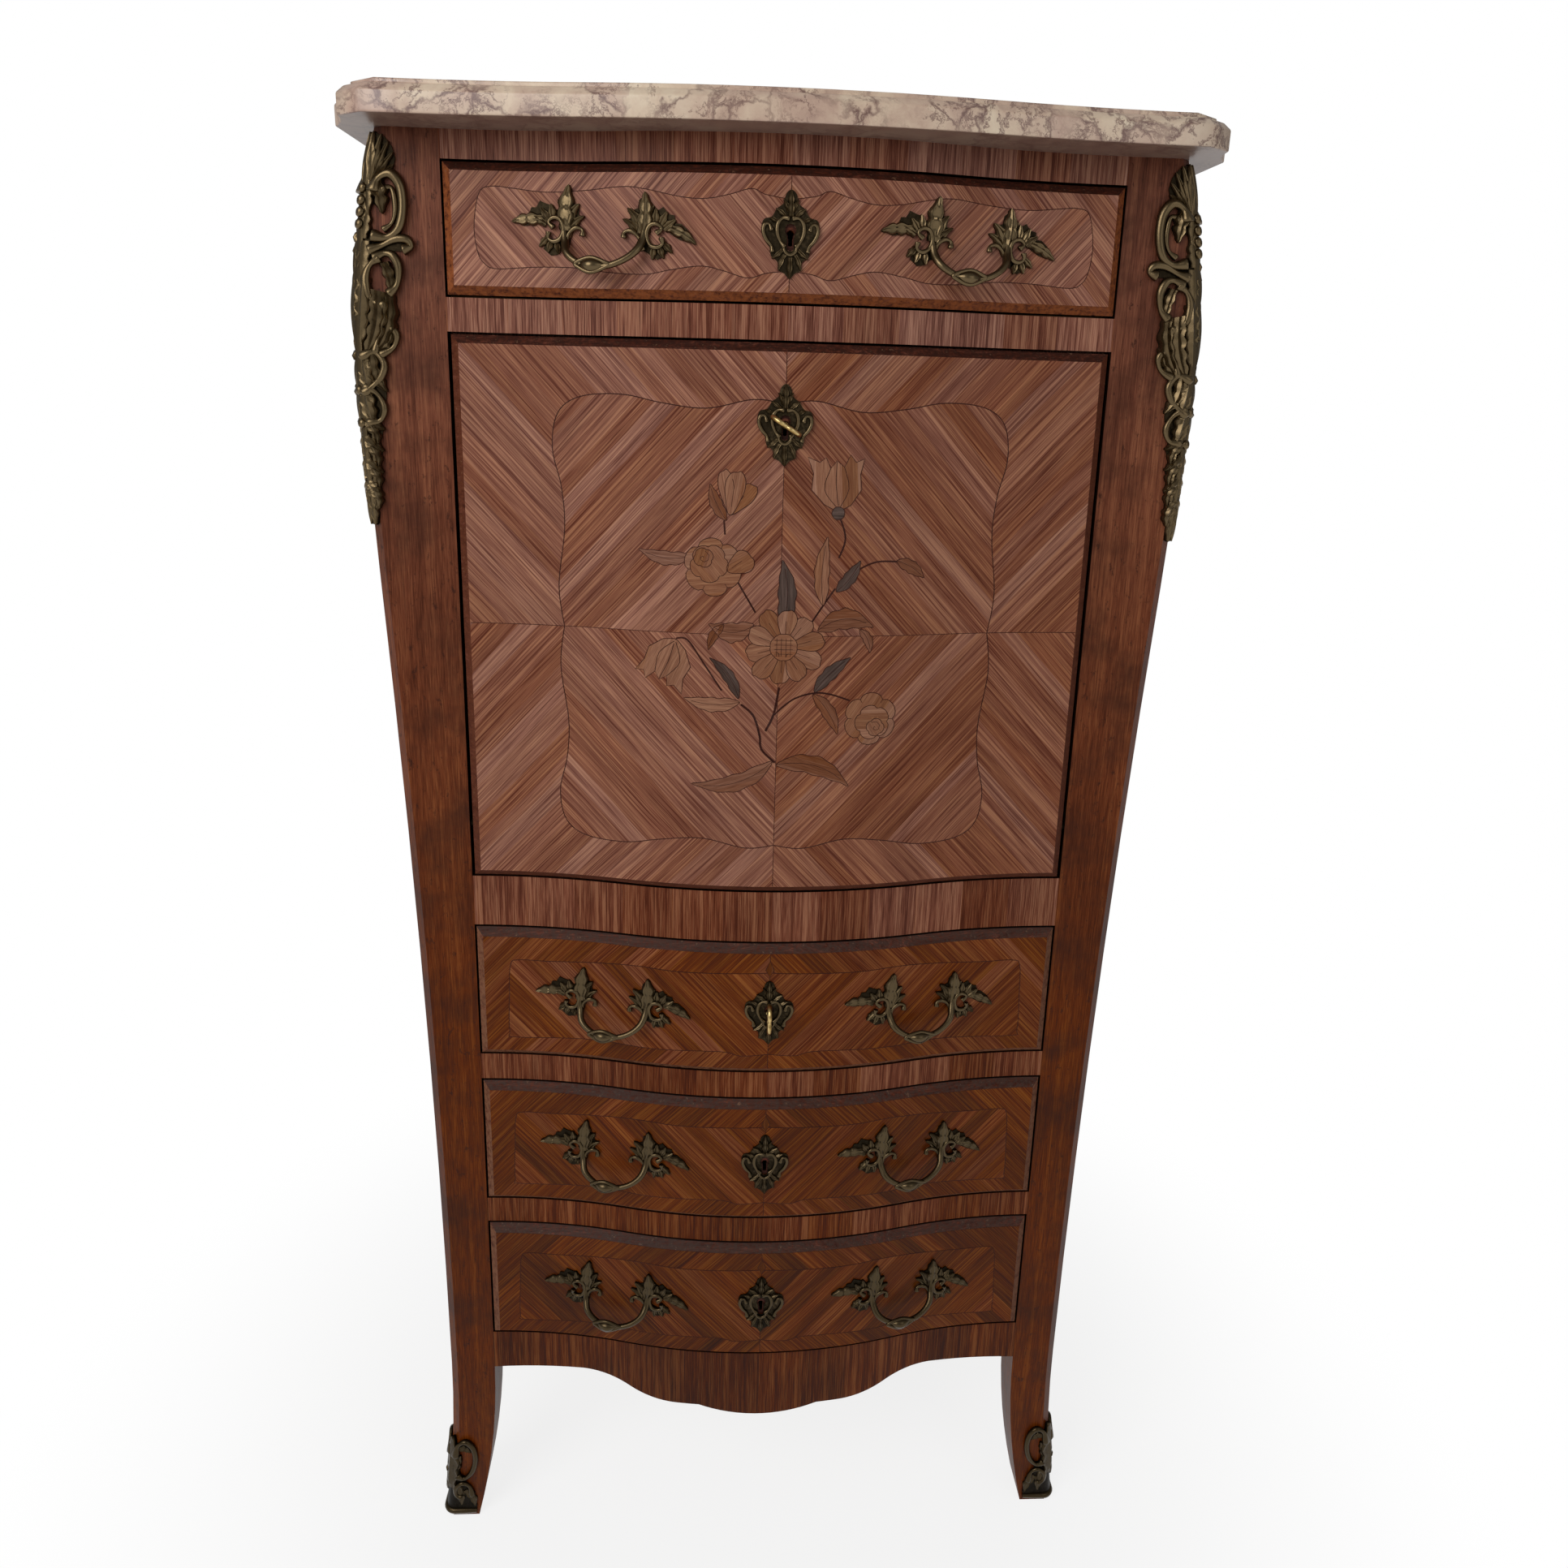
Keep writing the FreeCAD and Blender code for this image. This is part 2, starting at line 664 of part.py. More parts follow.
# Flap: hung on two pins near its foot, with a leather writing surface let into its inner face
leather_low = "pivot_z + leather_margin / 2"
leather_high = key_height("flap") + " - lock_below_key - leather_margin / 2"
leather_across = ("leather_margin - flap_half", "flap_half - leather_margin")
leather = node("flap_leather", board("flap_leather", leather_across,
                                     ("flap_back_plane - leather_thickness", "flap_back_plane"),
                                     (leather_low, leather_high)))
leather_bed = board("leather_bed", leather_across,
                    ("flap_back_plane - leather_thickness", "flap_back_plane + leather_thickness"),
                    (leather_low, leather_high))
pin_start = "flap_half - pivot_reach"
pin_right = rod("pivot_right", "pivot_diameter", (pin_start, "pivot_y", "pivot_z"), Vector(1, 0, 0),
                "2 * pivot_reach")
pin_left = mirrored("pivot_left", pin_right)
node("flap_pivots", group("flap_pivots", [pin_right, pin_left]))
flap_cuts = [lock_block("flap", "flap_recess"), leather_bed, pin_right, pin_left] + keyhole("flap", "flap")
fronts["flap"] = node("flap_panel", cut("flap_panel", front_stock("flap", "flap_gap"), flap_cuts))
lock_and_bolt("flap")

# Desk: the floor lies over the foot of the open flap and stops it level
node("desk_floor", board("desk_floor", across, ("flap_back_plane + running_gap", "back_panel_front"),
                         ("floor_low", "floor_top")))
beside_desk = ("half_opening", "half_opening + gallery_side")
right_gallery_side = board("right_gallery_side", beside_desk, between,
                           ("first_head + dust_thickness", "ceiling"))
node("gallery_sides", group("gallery_sides", [right_gallery_side,
                                              mirrored("left_gallery_side", right_gallery_side)]))
gallery_run = ("gallery_front", "back_panel_front")
shelves = [board("shelf", across, gallery_run, (low, low + " + gallery_board"))
           for low in ("shelf_low", "upper_shelf_low")]
middle_divider = board("middle_divider", ("-gallery_board / 2", "gallery_board / 2"), gallery_run,
                       ("floor_top", "shelf_low"))
right_divider = board("right_divider", ("pigeonhole_half", "pigeonhole_half + gallery_board"), gallery_run,
                      ("shelf_top", "upper_shelf_low"))
dividers = [middle_divider, right_divider, mirrored("left_divider", right_divider)]
node("pigeonholes", group("pigeonholes", shelves + dividers))

# Two small drawers under the shelf, each with a turned button knob
small_x = ("gallery_board / 2 + small_play", "half_opening - small_play")
small_y = ("gallery_front", "back_panel_front - small_front")
small_z = ("floor_top + running_gap", "shelf_low - small_play")
small_stock = board("small_drawer_stock", small_x, small_y, small_z)
small_hollow = board("small_drawer_hollow", (small_x[0] + " + small_wall", small_x[1] + " - small_wall"),
                     (small_y[0] + " + small_front", small_y[1] + " - small_wall"),
                     (small_z[0] + " + small_wall", "shelf_low"))
knob_x, knob_z = "(half_opening + gallery_board / 2) / 2", "floor_top + small_opening / 2"
knob = rod("small_knob", "knob_diameter", (knob_x, "gallery_front", knob_z), Vector(0, -1, 0), "knob_reach")
small_box = cut("small_drawer_box", small_stock, [small_hollow])
right_small = node("right_small_drawer", joined("right_small_drawer", [small_box, knob]))
node("left_small_drawer", mirrored("left_small_drawer", right_small))

# Keys: a round shank with its bit in the lock and an open bow that stands out in front


def loop(tall, wide):
    """Face in the XY plane with two straight sides and round ends, from its two half widths."""
    straight = max(tall - wide, 0)
    ends = [[Vector(hand * straight, hand * wide, 0), Vector(hand * tall, 0, 0), Vector(hand * straight, -hand * wide, 0)]
            for hand in (-1, 1)]
    edges = arcs(ends[0]) + arcs(ends[1])
    if straight:
        edges += path([ends[0][0], ends[1][2]]) + path([ends[1][0], ends[0][2]])
    return filled(edges)


def key_shape(name, tilt):
    """Key with its axis along Y and its bow turned by tilt about that axis."""
    back = size(LOCKED[name][2])
    tip = back - size("lock_plate + bolt_play")
    shoulder = size("bulge_front - escutcheon_plate - shank_reach")
    shank = Part.makeCylinder(size("shank_diameter / 2"), tip - shoulder, Vector(0, shoulder, 0), Vector(0, 1, 0))
    width, length = size("bit_width"), size("bit_length")
    depth = size(bit_depth) - 2 * size("bolt_play")
    bit = Part.makeBox(width, depth, length, Vector(-width / 2, tip - depth, -length))
    tall, wide, wire = size("bow_height / 2"), size("bow_width / 2"), size("bow_wire")
    bow = loop(tall, wide).cut(loop(tall - wire, wide - wire)).extrude(Vector(0, 0, wire))
    bow.translate(Vector(0, shoulder - wide + wire / 2, -wire / 2))
    bow.rotate(Vector(), Vector(0, 1, 0), tilt)
    key = shank.fuse([bit, bow])
    key.translate(Vector(0, 0, size(key_height(name))))
    return key


# Bronze castings: the pulls are cut to the curved drawer front, the escutcheons lie flat on its crown


# Serrated leaf sprays at the ends of a pull, in the plane of the drawer front, from the pull's own middle
LEFT_SPRAY = [(-73, 12), (-60, 20), (-48, 16), (-50, 24), (-38, 40), (-29, 26), (-32, 18), (-25, 7), (-33, -9),
              (-44, -12), (-47, -3), (-58, 2)]
RIGHT_SPRAY = [(73, 0), (66, 11), (54, 12), (54, 21), (41, 36), (33, 28), (34, 20), (25, 11), (30, -7), (43, -13),
               (49, -7), (62, -6)]


def pull_shape():
    """Cast pull: two leaf sprays, each with a stud that holds one end of a bail clear of the drawer front."""
    plate, stand, thick = size("pull_plate"), size("pull_standoff"), size("pull_bail")
    span, drop = size("pull_span"), size("pull_drop")
    pieces = []
    for spray in (LEFT_SPRAY, RIGHT_SPRAY):
        points = [Vector(x, plate, z) for x, z in spray]
        pieces.append(filled(path(points + points[:1])).extrude(Vector(0, -2 * plate, 0)))
    face = -stand - thick / 2
    outer, inner = span + thick / 2, span - thick / 2
    bail = arcs([Vector(-outer, face, 0), Vector(0, face, -drop - thick / 2), Vector(outer, face, 0)])
    bail += arcs([Vector(-inner, face, 0), Vector(0, face, thick / 2 - drop), Vector(inner, face, 0)])
    bail += path([Vector(-outer, face, 0), Vector(-inner, face, 0)])
    bail += path([Vector(inner, face, 0), Vector(outer, face, 0)])
    pieces.append(filled(bail).extrude(Vector(0, thick, 0)))
    for x in (-outer, inner):
        pieces.append(Part.makeBox(thick, plate - face, thick, Vector(x, face, 0)))
    return pieces[0].fuse(pieces[1:]).removeSplitter()


ESCUTCHEON_SIDE = [(0, 1), (0.9, 0.6), (0.72, 0), (0.95, -0.5), (0, -1)]


def escutcheon_shape():
    """Keyhole plate with two lobes on each side, its face towards -Y."""
    wide, tall = size("escutcheon_width / 2"), size("escutcheon_height / 2")
    right = [Vector(x * wide, 0, z * tall) for x, z in ESCUTCHEON_SIDE]
    left = [Vector(-point.x, 0, point.z) for point in right[-2::-1]]
    return filled(arcs(right + left)).extrude(Vector(0, -size("escutcheon_plate"), 0))


for front, carrier in fronts.items():
    middle = size(key_height(front))
    plate = shaped(front + "_plate", escutcheon_shape())
    plate.Placement = Placement(Vector(0, size("bulge_front"), middle), Rotation())
    escutcheon = cut(front + "_escutcheon", plate, keyhole(front, front + "_plate"))
    if front == "flap":
        node("flap_escutcheon", escutcheon)
        continue
    pulls = []
    for hand in (-1, 1):
        station = hand * size("pull_station")
        rise, lean = swell(station, size("half_opening"), size("bulge"))
        casting = shaped(front + "_pull", pull_shape())
        casting.Placement = Placement(Vector(station, size("post_front - front_proud") - rise, middle),
                                      Rotation(Vector(0, 0, 1), degrees(lean)))
        pulls.append(cut(front + "_seated_pull", casting, [carrier]))
    node(front + "_bronzes", group(front + "_bronzes", pulls + [escutcheon]))
for name, tilt in (("flap", 36), ("first_drawer", 90)):
    node(name + "_key", shaped(name + "_key", key_shape(name, tilt)))

# Corner mounts and sabots: wrapped round the arris of the front posts
arris = Part.Wire(Part.sortEdges(arris_arcs())[0])


def arris_at(height):
    """Half width of the front face at a height."""
    far = Vector(2 * size("shoulder_half"), 0, height)
    return arris.distToShape(Part.makeLine(Vector(0, 0, height), far))[1][0][0].x


def wrapped(name, reaches, top, height, relief_depth, eyes):
    """Casting on a post: its reach in from the arris at shares of its height, pierced by oval eyes."""
    levels = [top - share * height for share, reach in reaches]
    inner = [Vector(arris_at(z) - reach, 0, z) for z, (share, reach) in zip(levels, reaches)]
    wide = 2 * size("shoulder_half")
    face = filled(arcs(inner) + path([inner[-1], Vector(wide, 0, levels[-1]), Vector(wide, 0, levels[0]),
                                          inner[0]]))
    front = size("post_front") - relief_depth
    face.translate(Vector(0, front, 0))
    block = face.extrude(Vector(0, relief_depth + size("cant_width + mount_wrap"), 0))
    for share, reach, half_wide, half_tall in eyes:
        z = top - share * height
        eye = loop(half_tall, half_wide)
        eye.rotate(Vector(), Vector(0, 0, 1), 90)
        eye.rotate(Vector(), Vector(1, 0, 0), 90)
        eye.translate(Vector(arris_at(z) - reach, front, z))
        block = block.cut(eye.extrude(Vector(0, relief_depth, 0)))
    grown = shaped(name + "_grown", flank_shape(relief_depth))
    skin = common(name + "_skin", grown, shaped(name + "_block", block))
    right = node("right_" + name, cut("right_" + name, skin, [right_post]))
    node("left_" + name, mirrored("left_" + name, right))


SHOULDER_REACH = [(0, 5), (0.05, 16), (0.12, 27), (0.22, 44), (0.34, 33), (0.39, 25), (0.45, 22), (0.56, 16),
                  (0.68, 11), (0.84, 8), (1, 3)]
SHOULDER_EYES = [(0.21, 20, 5, 14)]
SABOT_REACH = [(0, 3), (0.12, 13), (0.35, 22), (0.65, 27), (1, 26)]
wrapped("corner_mount", SHOULDER_REACH, size("case_top - mount_drop"), size("mount_height"),
        size("mount_relief"), SHOULDER_EYES)
wrapped("sabot", SABOT_REACH, size("sabot_height"), size("sabot_height"), size("sabot_relief"), [])

# Every piece has to be sound before any file is written
doc.recompute()
for piece in doc.Objects:
    if "Invalid" in piece.State or "Error" in piece.State:
        raise RuntimeError("%s failed: %s" % (piece.Label, piece.State))
for piece in nodes:
    if piece.Shape.isNull() or not piece.Shape.isValid() or not piece.Shape.Solids:
        raise RuntimeError("%s is not a sound solid" % piece.Label)
os.makedirs("parts", exist_ok=True)
for piece in nodes:
    piece.Shape.exportStep("parts/%s.step" % piece.Label)
print(len(nodes), "pieces written")
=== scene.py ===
from math import ceil, cos, hypot, atan2, pi, radians, sin, sqrt

import bmesh
import bpy
from mathutils import Matrix, Vector
from mathutils.bvhtree import BVHTree
from mathutils.geometry import delaunay_2d_cdt


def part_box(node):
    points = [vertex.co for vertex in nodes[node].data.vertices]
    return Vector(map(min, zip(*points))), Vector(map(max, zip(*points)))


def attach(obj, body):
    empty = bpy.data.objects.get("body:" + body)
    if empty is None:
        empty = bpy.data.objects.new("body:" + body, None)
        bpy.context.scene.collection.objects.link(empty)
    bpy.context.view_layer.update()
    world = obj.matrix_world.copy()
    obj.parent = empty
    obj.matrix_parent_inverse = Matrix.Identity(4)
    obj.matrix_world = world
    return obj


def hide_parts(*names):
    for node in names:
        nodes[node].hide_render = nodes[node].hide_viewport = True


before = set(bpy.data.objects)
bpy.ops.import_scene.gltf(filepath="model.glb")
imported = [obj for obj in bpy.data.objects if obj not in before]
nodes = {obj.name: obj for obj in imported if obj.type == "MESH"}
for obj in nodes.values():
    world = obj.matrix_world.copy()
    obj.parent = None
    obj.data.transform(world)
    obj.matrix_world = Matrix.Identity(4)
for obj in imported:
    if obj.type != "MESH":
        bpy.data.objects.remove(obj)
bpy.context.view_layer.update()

# Posts: four beech uprights, sawn to the swelling outline of the flanks, stained and waxed.
# Old knocks and soiled patches darken them. The faces turned to the drawers carry painted shade, near black,
# and the low wood is painted darker as shade.
MM = 0.001
STRIPE, DASH = 45, 22  # how many times longer than wide a band of growth and a fibre are
LEG_TOP = 240


def linear(code):
    """An sRGB hex colour as the linear colour that a socket takes."""
    shares = [int(code[place:place + 2], 16) / 255 for place in (1, 3, 5)]
    return [share / 12.92 if share <= 0.04045 else ((share + 0.055) / 1.055) ** 2.4 for share in shares] + [1]


def wire(node, inputs):
    """Set a node's inputs, by name or in order, to a value, from a socket or from a node's first output."""
    for name, value in inputs.items() if isinstance(inputs, dict) else enumerate(inputs):
        if isinstance(value, bpy.types.Node):
            value = value.outputs[0]
        if isinstance(value, bpy.types.NodeSocket):
            node.id_data.links.new(value, node.inputs[name])
        else:
            node.inputs[name].default_value = value
    return node


def add(material, kind, inputs=(), stops=(), **settings):
    """Add a node with its settings, its inputs and, on a ramp, its colour stops.

    The inputs of a MapRange come in order: the value, the range that it comes from and the one it goes to.
    """
    node = material.node_tree.nodes.new("ShaderNode" + kind)
    for name, value in settings.items():
        setattr(node, name, value)
    for number, (place, code) in enumerate(stops):
        ramp = node.color_ramp.elements
        stop = ramp[number] if number < 2 else ramp.new(place)
        stop.position, stop.color = place, linear(code)
    return wire(node, inputs)


def new_material(name):
    """A material, its shader and a point's place in the cabinet."""
    material = bpy.data.materials.new(name)
    material.use_nodes = True
    place = add(material, "TexCoord").outputs["Object"]
    return material, material.node_tree.nodes["Principled BSDF"], place


def overlay(material, code, share):
    """Lay a colour over what the material shows so far, as much as the share says."""
    shader = material.node_tree.nodes["Principled BSDF"]
    under = shader.inputs["Base Color"].links[0].from_socket
    covered = add(material, "Mix", {"Factor": share, "A": under, "B": linear(code)}, data_type="RGBA")
    wire(shader, {"Base Color": covered.outputs[2]})


def paint_gap_shade(material, gap_shade_mask):
    """Darken the faces that lie in the gaps to a mottled near black: painted shade where the gaps stay dark.
    """
    gap_shade_noise = add(material, "TexNoise", {"Scale": 1 / (9 * MM), "Detail": 3})
    deep = add(material, "MapRange", [gap_shade_noise, 0, 1, 0.8])
    overlay(material, "#180d09", add(material, "Math", [gap_shade_mask, deep], operation="MULTIPLY"))


def lengthwise(width, longer):
    """The scale of a pattern that is so many mm wide and so many times longer along X."""
    return 1 / (longer * width * MM), 1 / (width * MM), 1 / (width * MM)


def timber(name, colours, place, band, fibre, roughness, figure=0.5, length=1, spread=0.13):
    """Polished wood, from its dark to its light colour, whose grain runs along X of the place that is fed in.

    Bands of growth give broad stripes with a thin dark line here and there; fibres give fine dashes that also
    dent the polish. A lighter tone is also less saturated: a painted sheen of pale reflected light. More
    length draws both of them out, and less spread parts dark from light more sharply.
    """
    material, shader, _ = new_material(name)
    point, tone = place(material)
    broad = add(material, "Mapping", {"Vector": point, "Scale": lengthwise(band, STRIPE * length)})
    growth = add(material, "TexNoise", {"Vector": broad, "Scale": 1, "Detail": 5, "Roughness": 0.62,
                                        "Distortion": figure})
    fine = add(material, "Mapping", {"Vector": point, "Scale": lengthwise(fibre, DASH * length)})
    dashes = add(material, "TexNoise", {"Vector": fine, "Scale": 1, "Detail": 3, "Roughness": 0.6})
    mixed = add(material, "Mix", {"Factor": 0.5, "A": growth, "B": dashes})
    colour = add(material, "ValToRGB", [mixed], zip((0.5 - spread, 0.5, 0.5 + spread), colours))
    age = add(material, "TexNoise", {"Vector": point, "Scale": 1 / (140 * MM), "Detail": 3})
    wear = add(material, "MapRange", [age, 0.3, 0.7, 0.88, 1.12])
    ridge = add(material, "Math", [growth, 0.54], operation="SUBTRACT")
    fold = add(material, "Math", [ridge], operation="ABSOLUTE")
    line = add(material, "MapRange", [fold, 0, 0.02, -0.2, 0.03])
    lined = add(material, "Math", [wear, line], operation="ADD")
    value = add(material, "Math", [lined, tone], operation="ADD")
    painted_sheen = add(material, "MapRange", [tone, -0.45, 0.2, 1.26, 0.9])
    shade = add(material, "HueSaturation", {"Color": colour, "Value": value, "Saturation": painted_sheen,
                                            "Hue": 0.493})
    dent = add(material, "Bump", {"Height": dashes, "Strength": 0.12, "Distance": fibre * MM})
    polish = add(material, "MapRange", [mixed, 0.3, 0.7, roughness - 0.06, roughness + 0.1])
    wire(shader, {"Base Color": shade, "Roughness": polish, "Normal": dent, "Specular IOR Level": 0.1})
    return material


def upright(material):
    """Grain that stands up: Z of the cabinet becomes the wood's own X. The low wood is darker: painted shade.
    """
    place = add(material, "TexCoord").outputs["Object"]
    _, _, height = add(material, "SeparateXYZ", [place]).outputs
    tone = add(material, "MapRange", [height, 0.6, 1.3, -0.25, 0.12])
    return add(material, "VectorRotate", {"Vector": place, "Angle": pi / 2}, rotation_type="Y_AXIS"), tone


def dress(material, names):
    for name in names:
        nodes[name].data.materials.clear()
        nodes[name].data.materials.append(material)


# Stained beech: fine short flecks in a warm brown, with old knocks and soiled patches, satin from handling
beech = timber("stained_beech", ("#462310", "#663a23", "#805133"), upright, band=7, fibre=1.1,
               roughness=0.42)
spot = add(beech, "TexCoord").outputs
place, normal = spot["Object"], spot["Normal"]
stretched = add(beech, "Mapping", {"Vector": place, "Scale": (1 / (8 * MM), 1 / (8 * MM), 1 / (15 * MM))})
knocks = add(beech, "TexNoise", {"Vector": stretched, "Scale": 1, "Detail": 4, "Roughness": 0.75})
knock = add(beech, "MapRange", [knocks, 0.57, 0.66, 0, 0.75])
cloudy = add(beech, "TexNoise", {"Vector": place, "Scale": 1 / (60 * MM), "Detail": 4, "Roughness": 0.6})
soiled = add(beech, "MapRange", [cloudy, 0.46, 0.68, 0, 0.65])
overlay(beech, "#2c140b", add(beech, "Math", [knock, soiled], operation="MAXIMUM"))
# the faces turned to the middle of the cabinet, above the open legs, get painted shade, as in the gaps beside
# the drawers
facing = add(beech, "VectorMath", [place, normal], operation="MULTIPLY")
outward, _, _ = add(beech, "SeparateXYZ", [facing]).outputs
inner = add(beech, "Math", [outward, -0.2], operation="LESS_THAN")
_, _, height = add(beech, "SeparateXYZ", [place]).outputs
enclosed = add(beech, "Math", [height, LEG_TOP * MM], operation="GREATER_THAN")
paint_gap_shade(beech, add(beech, "Math", [inner, enclosed], operation="MULTIPLY"))
dress(beech, [side + "_" + post for side in ("left", "right") for post in ("front_post", "rear_post")])

# Side panels and side aprons: oak boards covered with one sheet of tulipwood, its grain upright.
# They are glued between the posts and curve with them.
flank_veneer = timber("tulipwood_flank_veneer", ("#4d2818", "#6b3f2c", "#835642"), upright,
                      band=16, fibre=0.8, roughness=0.4, figure=0.9)
dress(flank_veneer, ["left_side_panel", "right_side_panel", "side_aprons"])

# Case boards: plain oak, planed and left bare, pinned to the back and housed in the sides.
# The desk's floor, shelves, dividers and small drawers are of the same oak, waxed.
BOARD = 118  # width


def along_board(material):
    """Grain along X on boards that face up or forward, and along Y on boards that face sideways.

    Every so far up a new board begins, cut from another plank.
    """
    spot = add(material, "TexCoord").outputs
    place, normal = spot["Object"], spot["Normal"]
    facing, _, _ = add(material, "SeparateXYZ", [normal]).outputs
    sideways = add(material, "Math", [facing], operation="ABSOLUTE")
    swapped = add(material, "VectorRotate", {"Vector": place, "Angle": pi / 2}, rotation_type="Z_AXIS")
    run = add(material, "Mix", {"Factor": sideways, "A": place, "B": swapped}, data_type="VECTOR")
    _, _, height = add(material, "SeparateXYZ", [place]).outputs
    course = add(material, "Math", [height, 1 / (BOARD * MM)], operation="MULTIPLY")
    number = add(material, "Math", [course], operation="FLOOR")
    plank = add(material, "TexWhiteNoise", {"W": number}, noise_dimensions="1D").outputs
    tone = add(material, "MapRange", [plank["Value"], 0, 1, -0.08, 0.06])
    return add(material, "VectorMath", [plank["Color"], run.outputs[1]], operation="ADD"), tone


# Planed oak: straight pale stripes with short dark pores, dull where no polish was ever put on
oak = timber("planed_oak", ("#75553a", "#94714b", "#ad8b62"), along_board, band=12, fibre=0.9, roughness=0.62)
dress(oak, ["back_panel", "top_board", "dust_boards", "desk_floor", "gallery_sides", "pigeonholes"]
      + [drawer + "_drawer_box" for drawer in ("upper", "first", "second", "third")]
      + [side + "_small_drawer" for side in ("left", "right")])

# Rails and front apron: beech cores faced with short cross-cut strips of tulipwood, laid side by side.
# The grain stands upright, and no two strips were cut from the same sheet.
STRIP, BUTT, SEAM = 46, 0.6, 1.2  # widths of a strip, of the glue beside it and of the glue at the posts
HALF_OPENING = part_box("writing_rail")[1].x / MM


def crossbanding(material):
    """Upright grain that starts anew in each strip, with dark glue between strips and against the posts."""
    place = add(material, "TexCoord").outputs["Object"]
    across, _, height = add(material, "SeparateXYZ", [place]).outputs
    strip = add(material, "Math", [across, 1 / (STRIP * MM)], operation="MULTIPLY")
    number = add(material, "Math", [strip], operation="FLOOR")
    sheet = add(material, "TexWhiteNoise", {"W": number}, noise_dimensions="1D").outputs
    moved = add(material, "VectorMath", [sheet["Color"], place], operation="ADD")
    # the lower rails are painted darker as shade, where the light falls off towards the floor
    low = add(material, "MapRange", [height, 0.2, 1.0, -0.66, -0.04])
    plain = add(material, "Math", [sheet["Value"], 0.26, low], operation="MULTIPLY_ADD")
    within = add(material, "Math", [strip], operation="FRACT")
    butt = add(material, "MapRange", [within, 0, BUTT / STRIP, 0.3, 0])
    outer = add(material, "Math", [across], operation="ABSOLUTE")
    seam = add(material, "MapRange", [outer, (HALF_OPENING - SEAM) * MM, HALF_OPENING * MM, 0, 0.5])
    glue = add(material, "Math", [butt, seam], operation="MAXIMUM")
    tone = add(material, "Math", [plain, glue], operation="SUBTRACT")
    return add(material, "VectorRotate", {"Vector": moved, "Angle": pi / 2}, rotation_type="Y_AXIS"), tone


# Tulipwood cut across: dense upright dark and rosy streaks that stop at each joint
crossband = timber("tulipwood_crossbanding", ("#4f2a1a", "#764a36", "#966b51"), crossbanding,
                   band=5, fibre=0.8, roughness=0.4, length=2, spread=0.08)
# the level faces of the rails, seen in the gaps above and below the fronts, get painted shade
normal = add(crossband, "TexCoord").outputs["Normal"]
_, _, upward = add(crossband, "SeparateXYZ", [normal]).outputs
level = add(crossband, "Math", [upward], operation="ABSOLUTE")
paint_gap_shade(crossband, add(crossband, "Math", [level, 0.9], operation="GREATER_THAN"))
dress(crossband, [rail + "_rail" for rail in ("top", "upper", "writing", "first", "second")]
      + ["front_apron"])

# Drawer fronts and flap: solid blanks bevelled all round and let in between the rails.
# The bevels are bare of veneer and stained; the lower ones are dusty on top, the others carry painted shade
# on top, and all are rubbed towards the posts. The square edges behind them carry painted shade, near black.


def bevelled_blank(name, top_dust_and_shade, rubs):
    """Stained wood with one colour where it faces up and another where it faces sideways or down."""
    material = timber(name, ("#2f150c", "#4c2819", "#6c4130"), along_board, band=6, fibre=1.0, roughness=0.5)
    spot = add(material, "TexCoord").outputs
    place, normal = spot["Object"], spot["Normal"]
    across, _, upward = add(material, "SeparateXYZ", [normal]).outputs
    chips = add(material, "TexNoise", {"Vector": place, "Scale": 1 / (4 * MM), "Detail": 5, "Roughness": 0.7})
    sideways = add(material, "Math", [across], operation="ABSOLUTE")
    below = add(material, "Math", [upward, -1], operation="MULTIPLY")
    rubbed = add(material, "Math", [sideways, below], operation="MAXIMUM")
    # on top: dust on the lower drawers, painted shade on the upper drawer and the flap; at the sides and
    # below: wear
    for slope, code, most in ((upward, top_dust_and_shade, 0.85), (rubbed, rubs, 0.8)):
        patch = add(material, "Math", [slope, chips], operation="MULTIPLY")
        overlay(material, code, add(material, "MapRange", [patch, 0.24, 0.4, 0, most]))
    overlay(material, "#7c5a45", add(material, "MapRange", [chips, 0.62, 0.68, 0, 0.6]))
    # the square faces, seen only in the gaps, get painted shade
    steep = add(material, "Math", [rubbed, upward], operation="MAXIMUM")
    paint_gap_shade(material, add(material, "Math", [steep, 0.95], operation="GREATER_THAN"))
    return material


# Bevels of the lower drawers: grey-mauve with dust above, worn to pale wood at the ends
dress(bevelled_blank("dusty_bevel", "#40302a", "#80573f"),
      [drawer + "_drawer_front" for drawer in ("first", "second", "third")])
# Bevels of the upper drawer and the flap: painted shade above, under the rail; the drawer is worn orange
# below, the flap less so
dress(bevelled_blank("worn_bevel", "#2a1712", "#90502a"), ["upper_drawer_front"])
dress(bevelled_blank("dark_bevel", "#2a1712", "#5a2f1d"), ["flap_panel"])

# Marquetry of the flap and the drawers: sheets of tulipwood sawn to shape and laid in quarters, so that their
# stripes meet at the middle, with flowers of paler and of stained wood let into the flap.
# The sheets are glued on the blanks and scraped flush; a fine saw line stays dark round each of them.
BULGE, BEVEL = 34.5, 7  # how far a front swells, and the width of its bevels
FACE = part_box("upper_drawer_front")[0].y / MM + BULGE
SHEET, RAISE = 1.0, 0.3  # how thick a sheet is, and how proud of the blank it lies
GRID, FLITCH = 11, 15  # spacing of the points that follow the front, and width of a band of one tone
SAW_LINE, JOINT_LINE, BORDER_LINE = 0.55, 0.5, 0.6  # widths
MIDDLE_LIFT, JOINT_LIFT, BORDER_LIFT, DIAMOND_LIFT = 0.1, 0.14, 0.16, 0.22  # over the ground
CUT = 0.04  # over the sheet that a saw line goes round
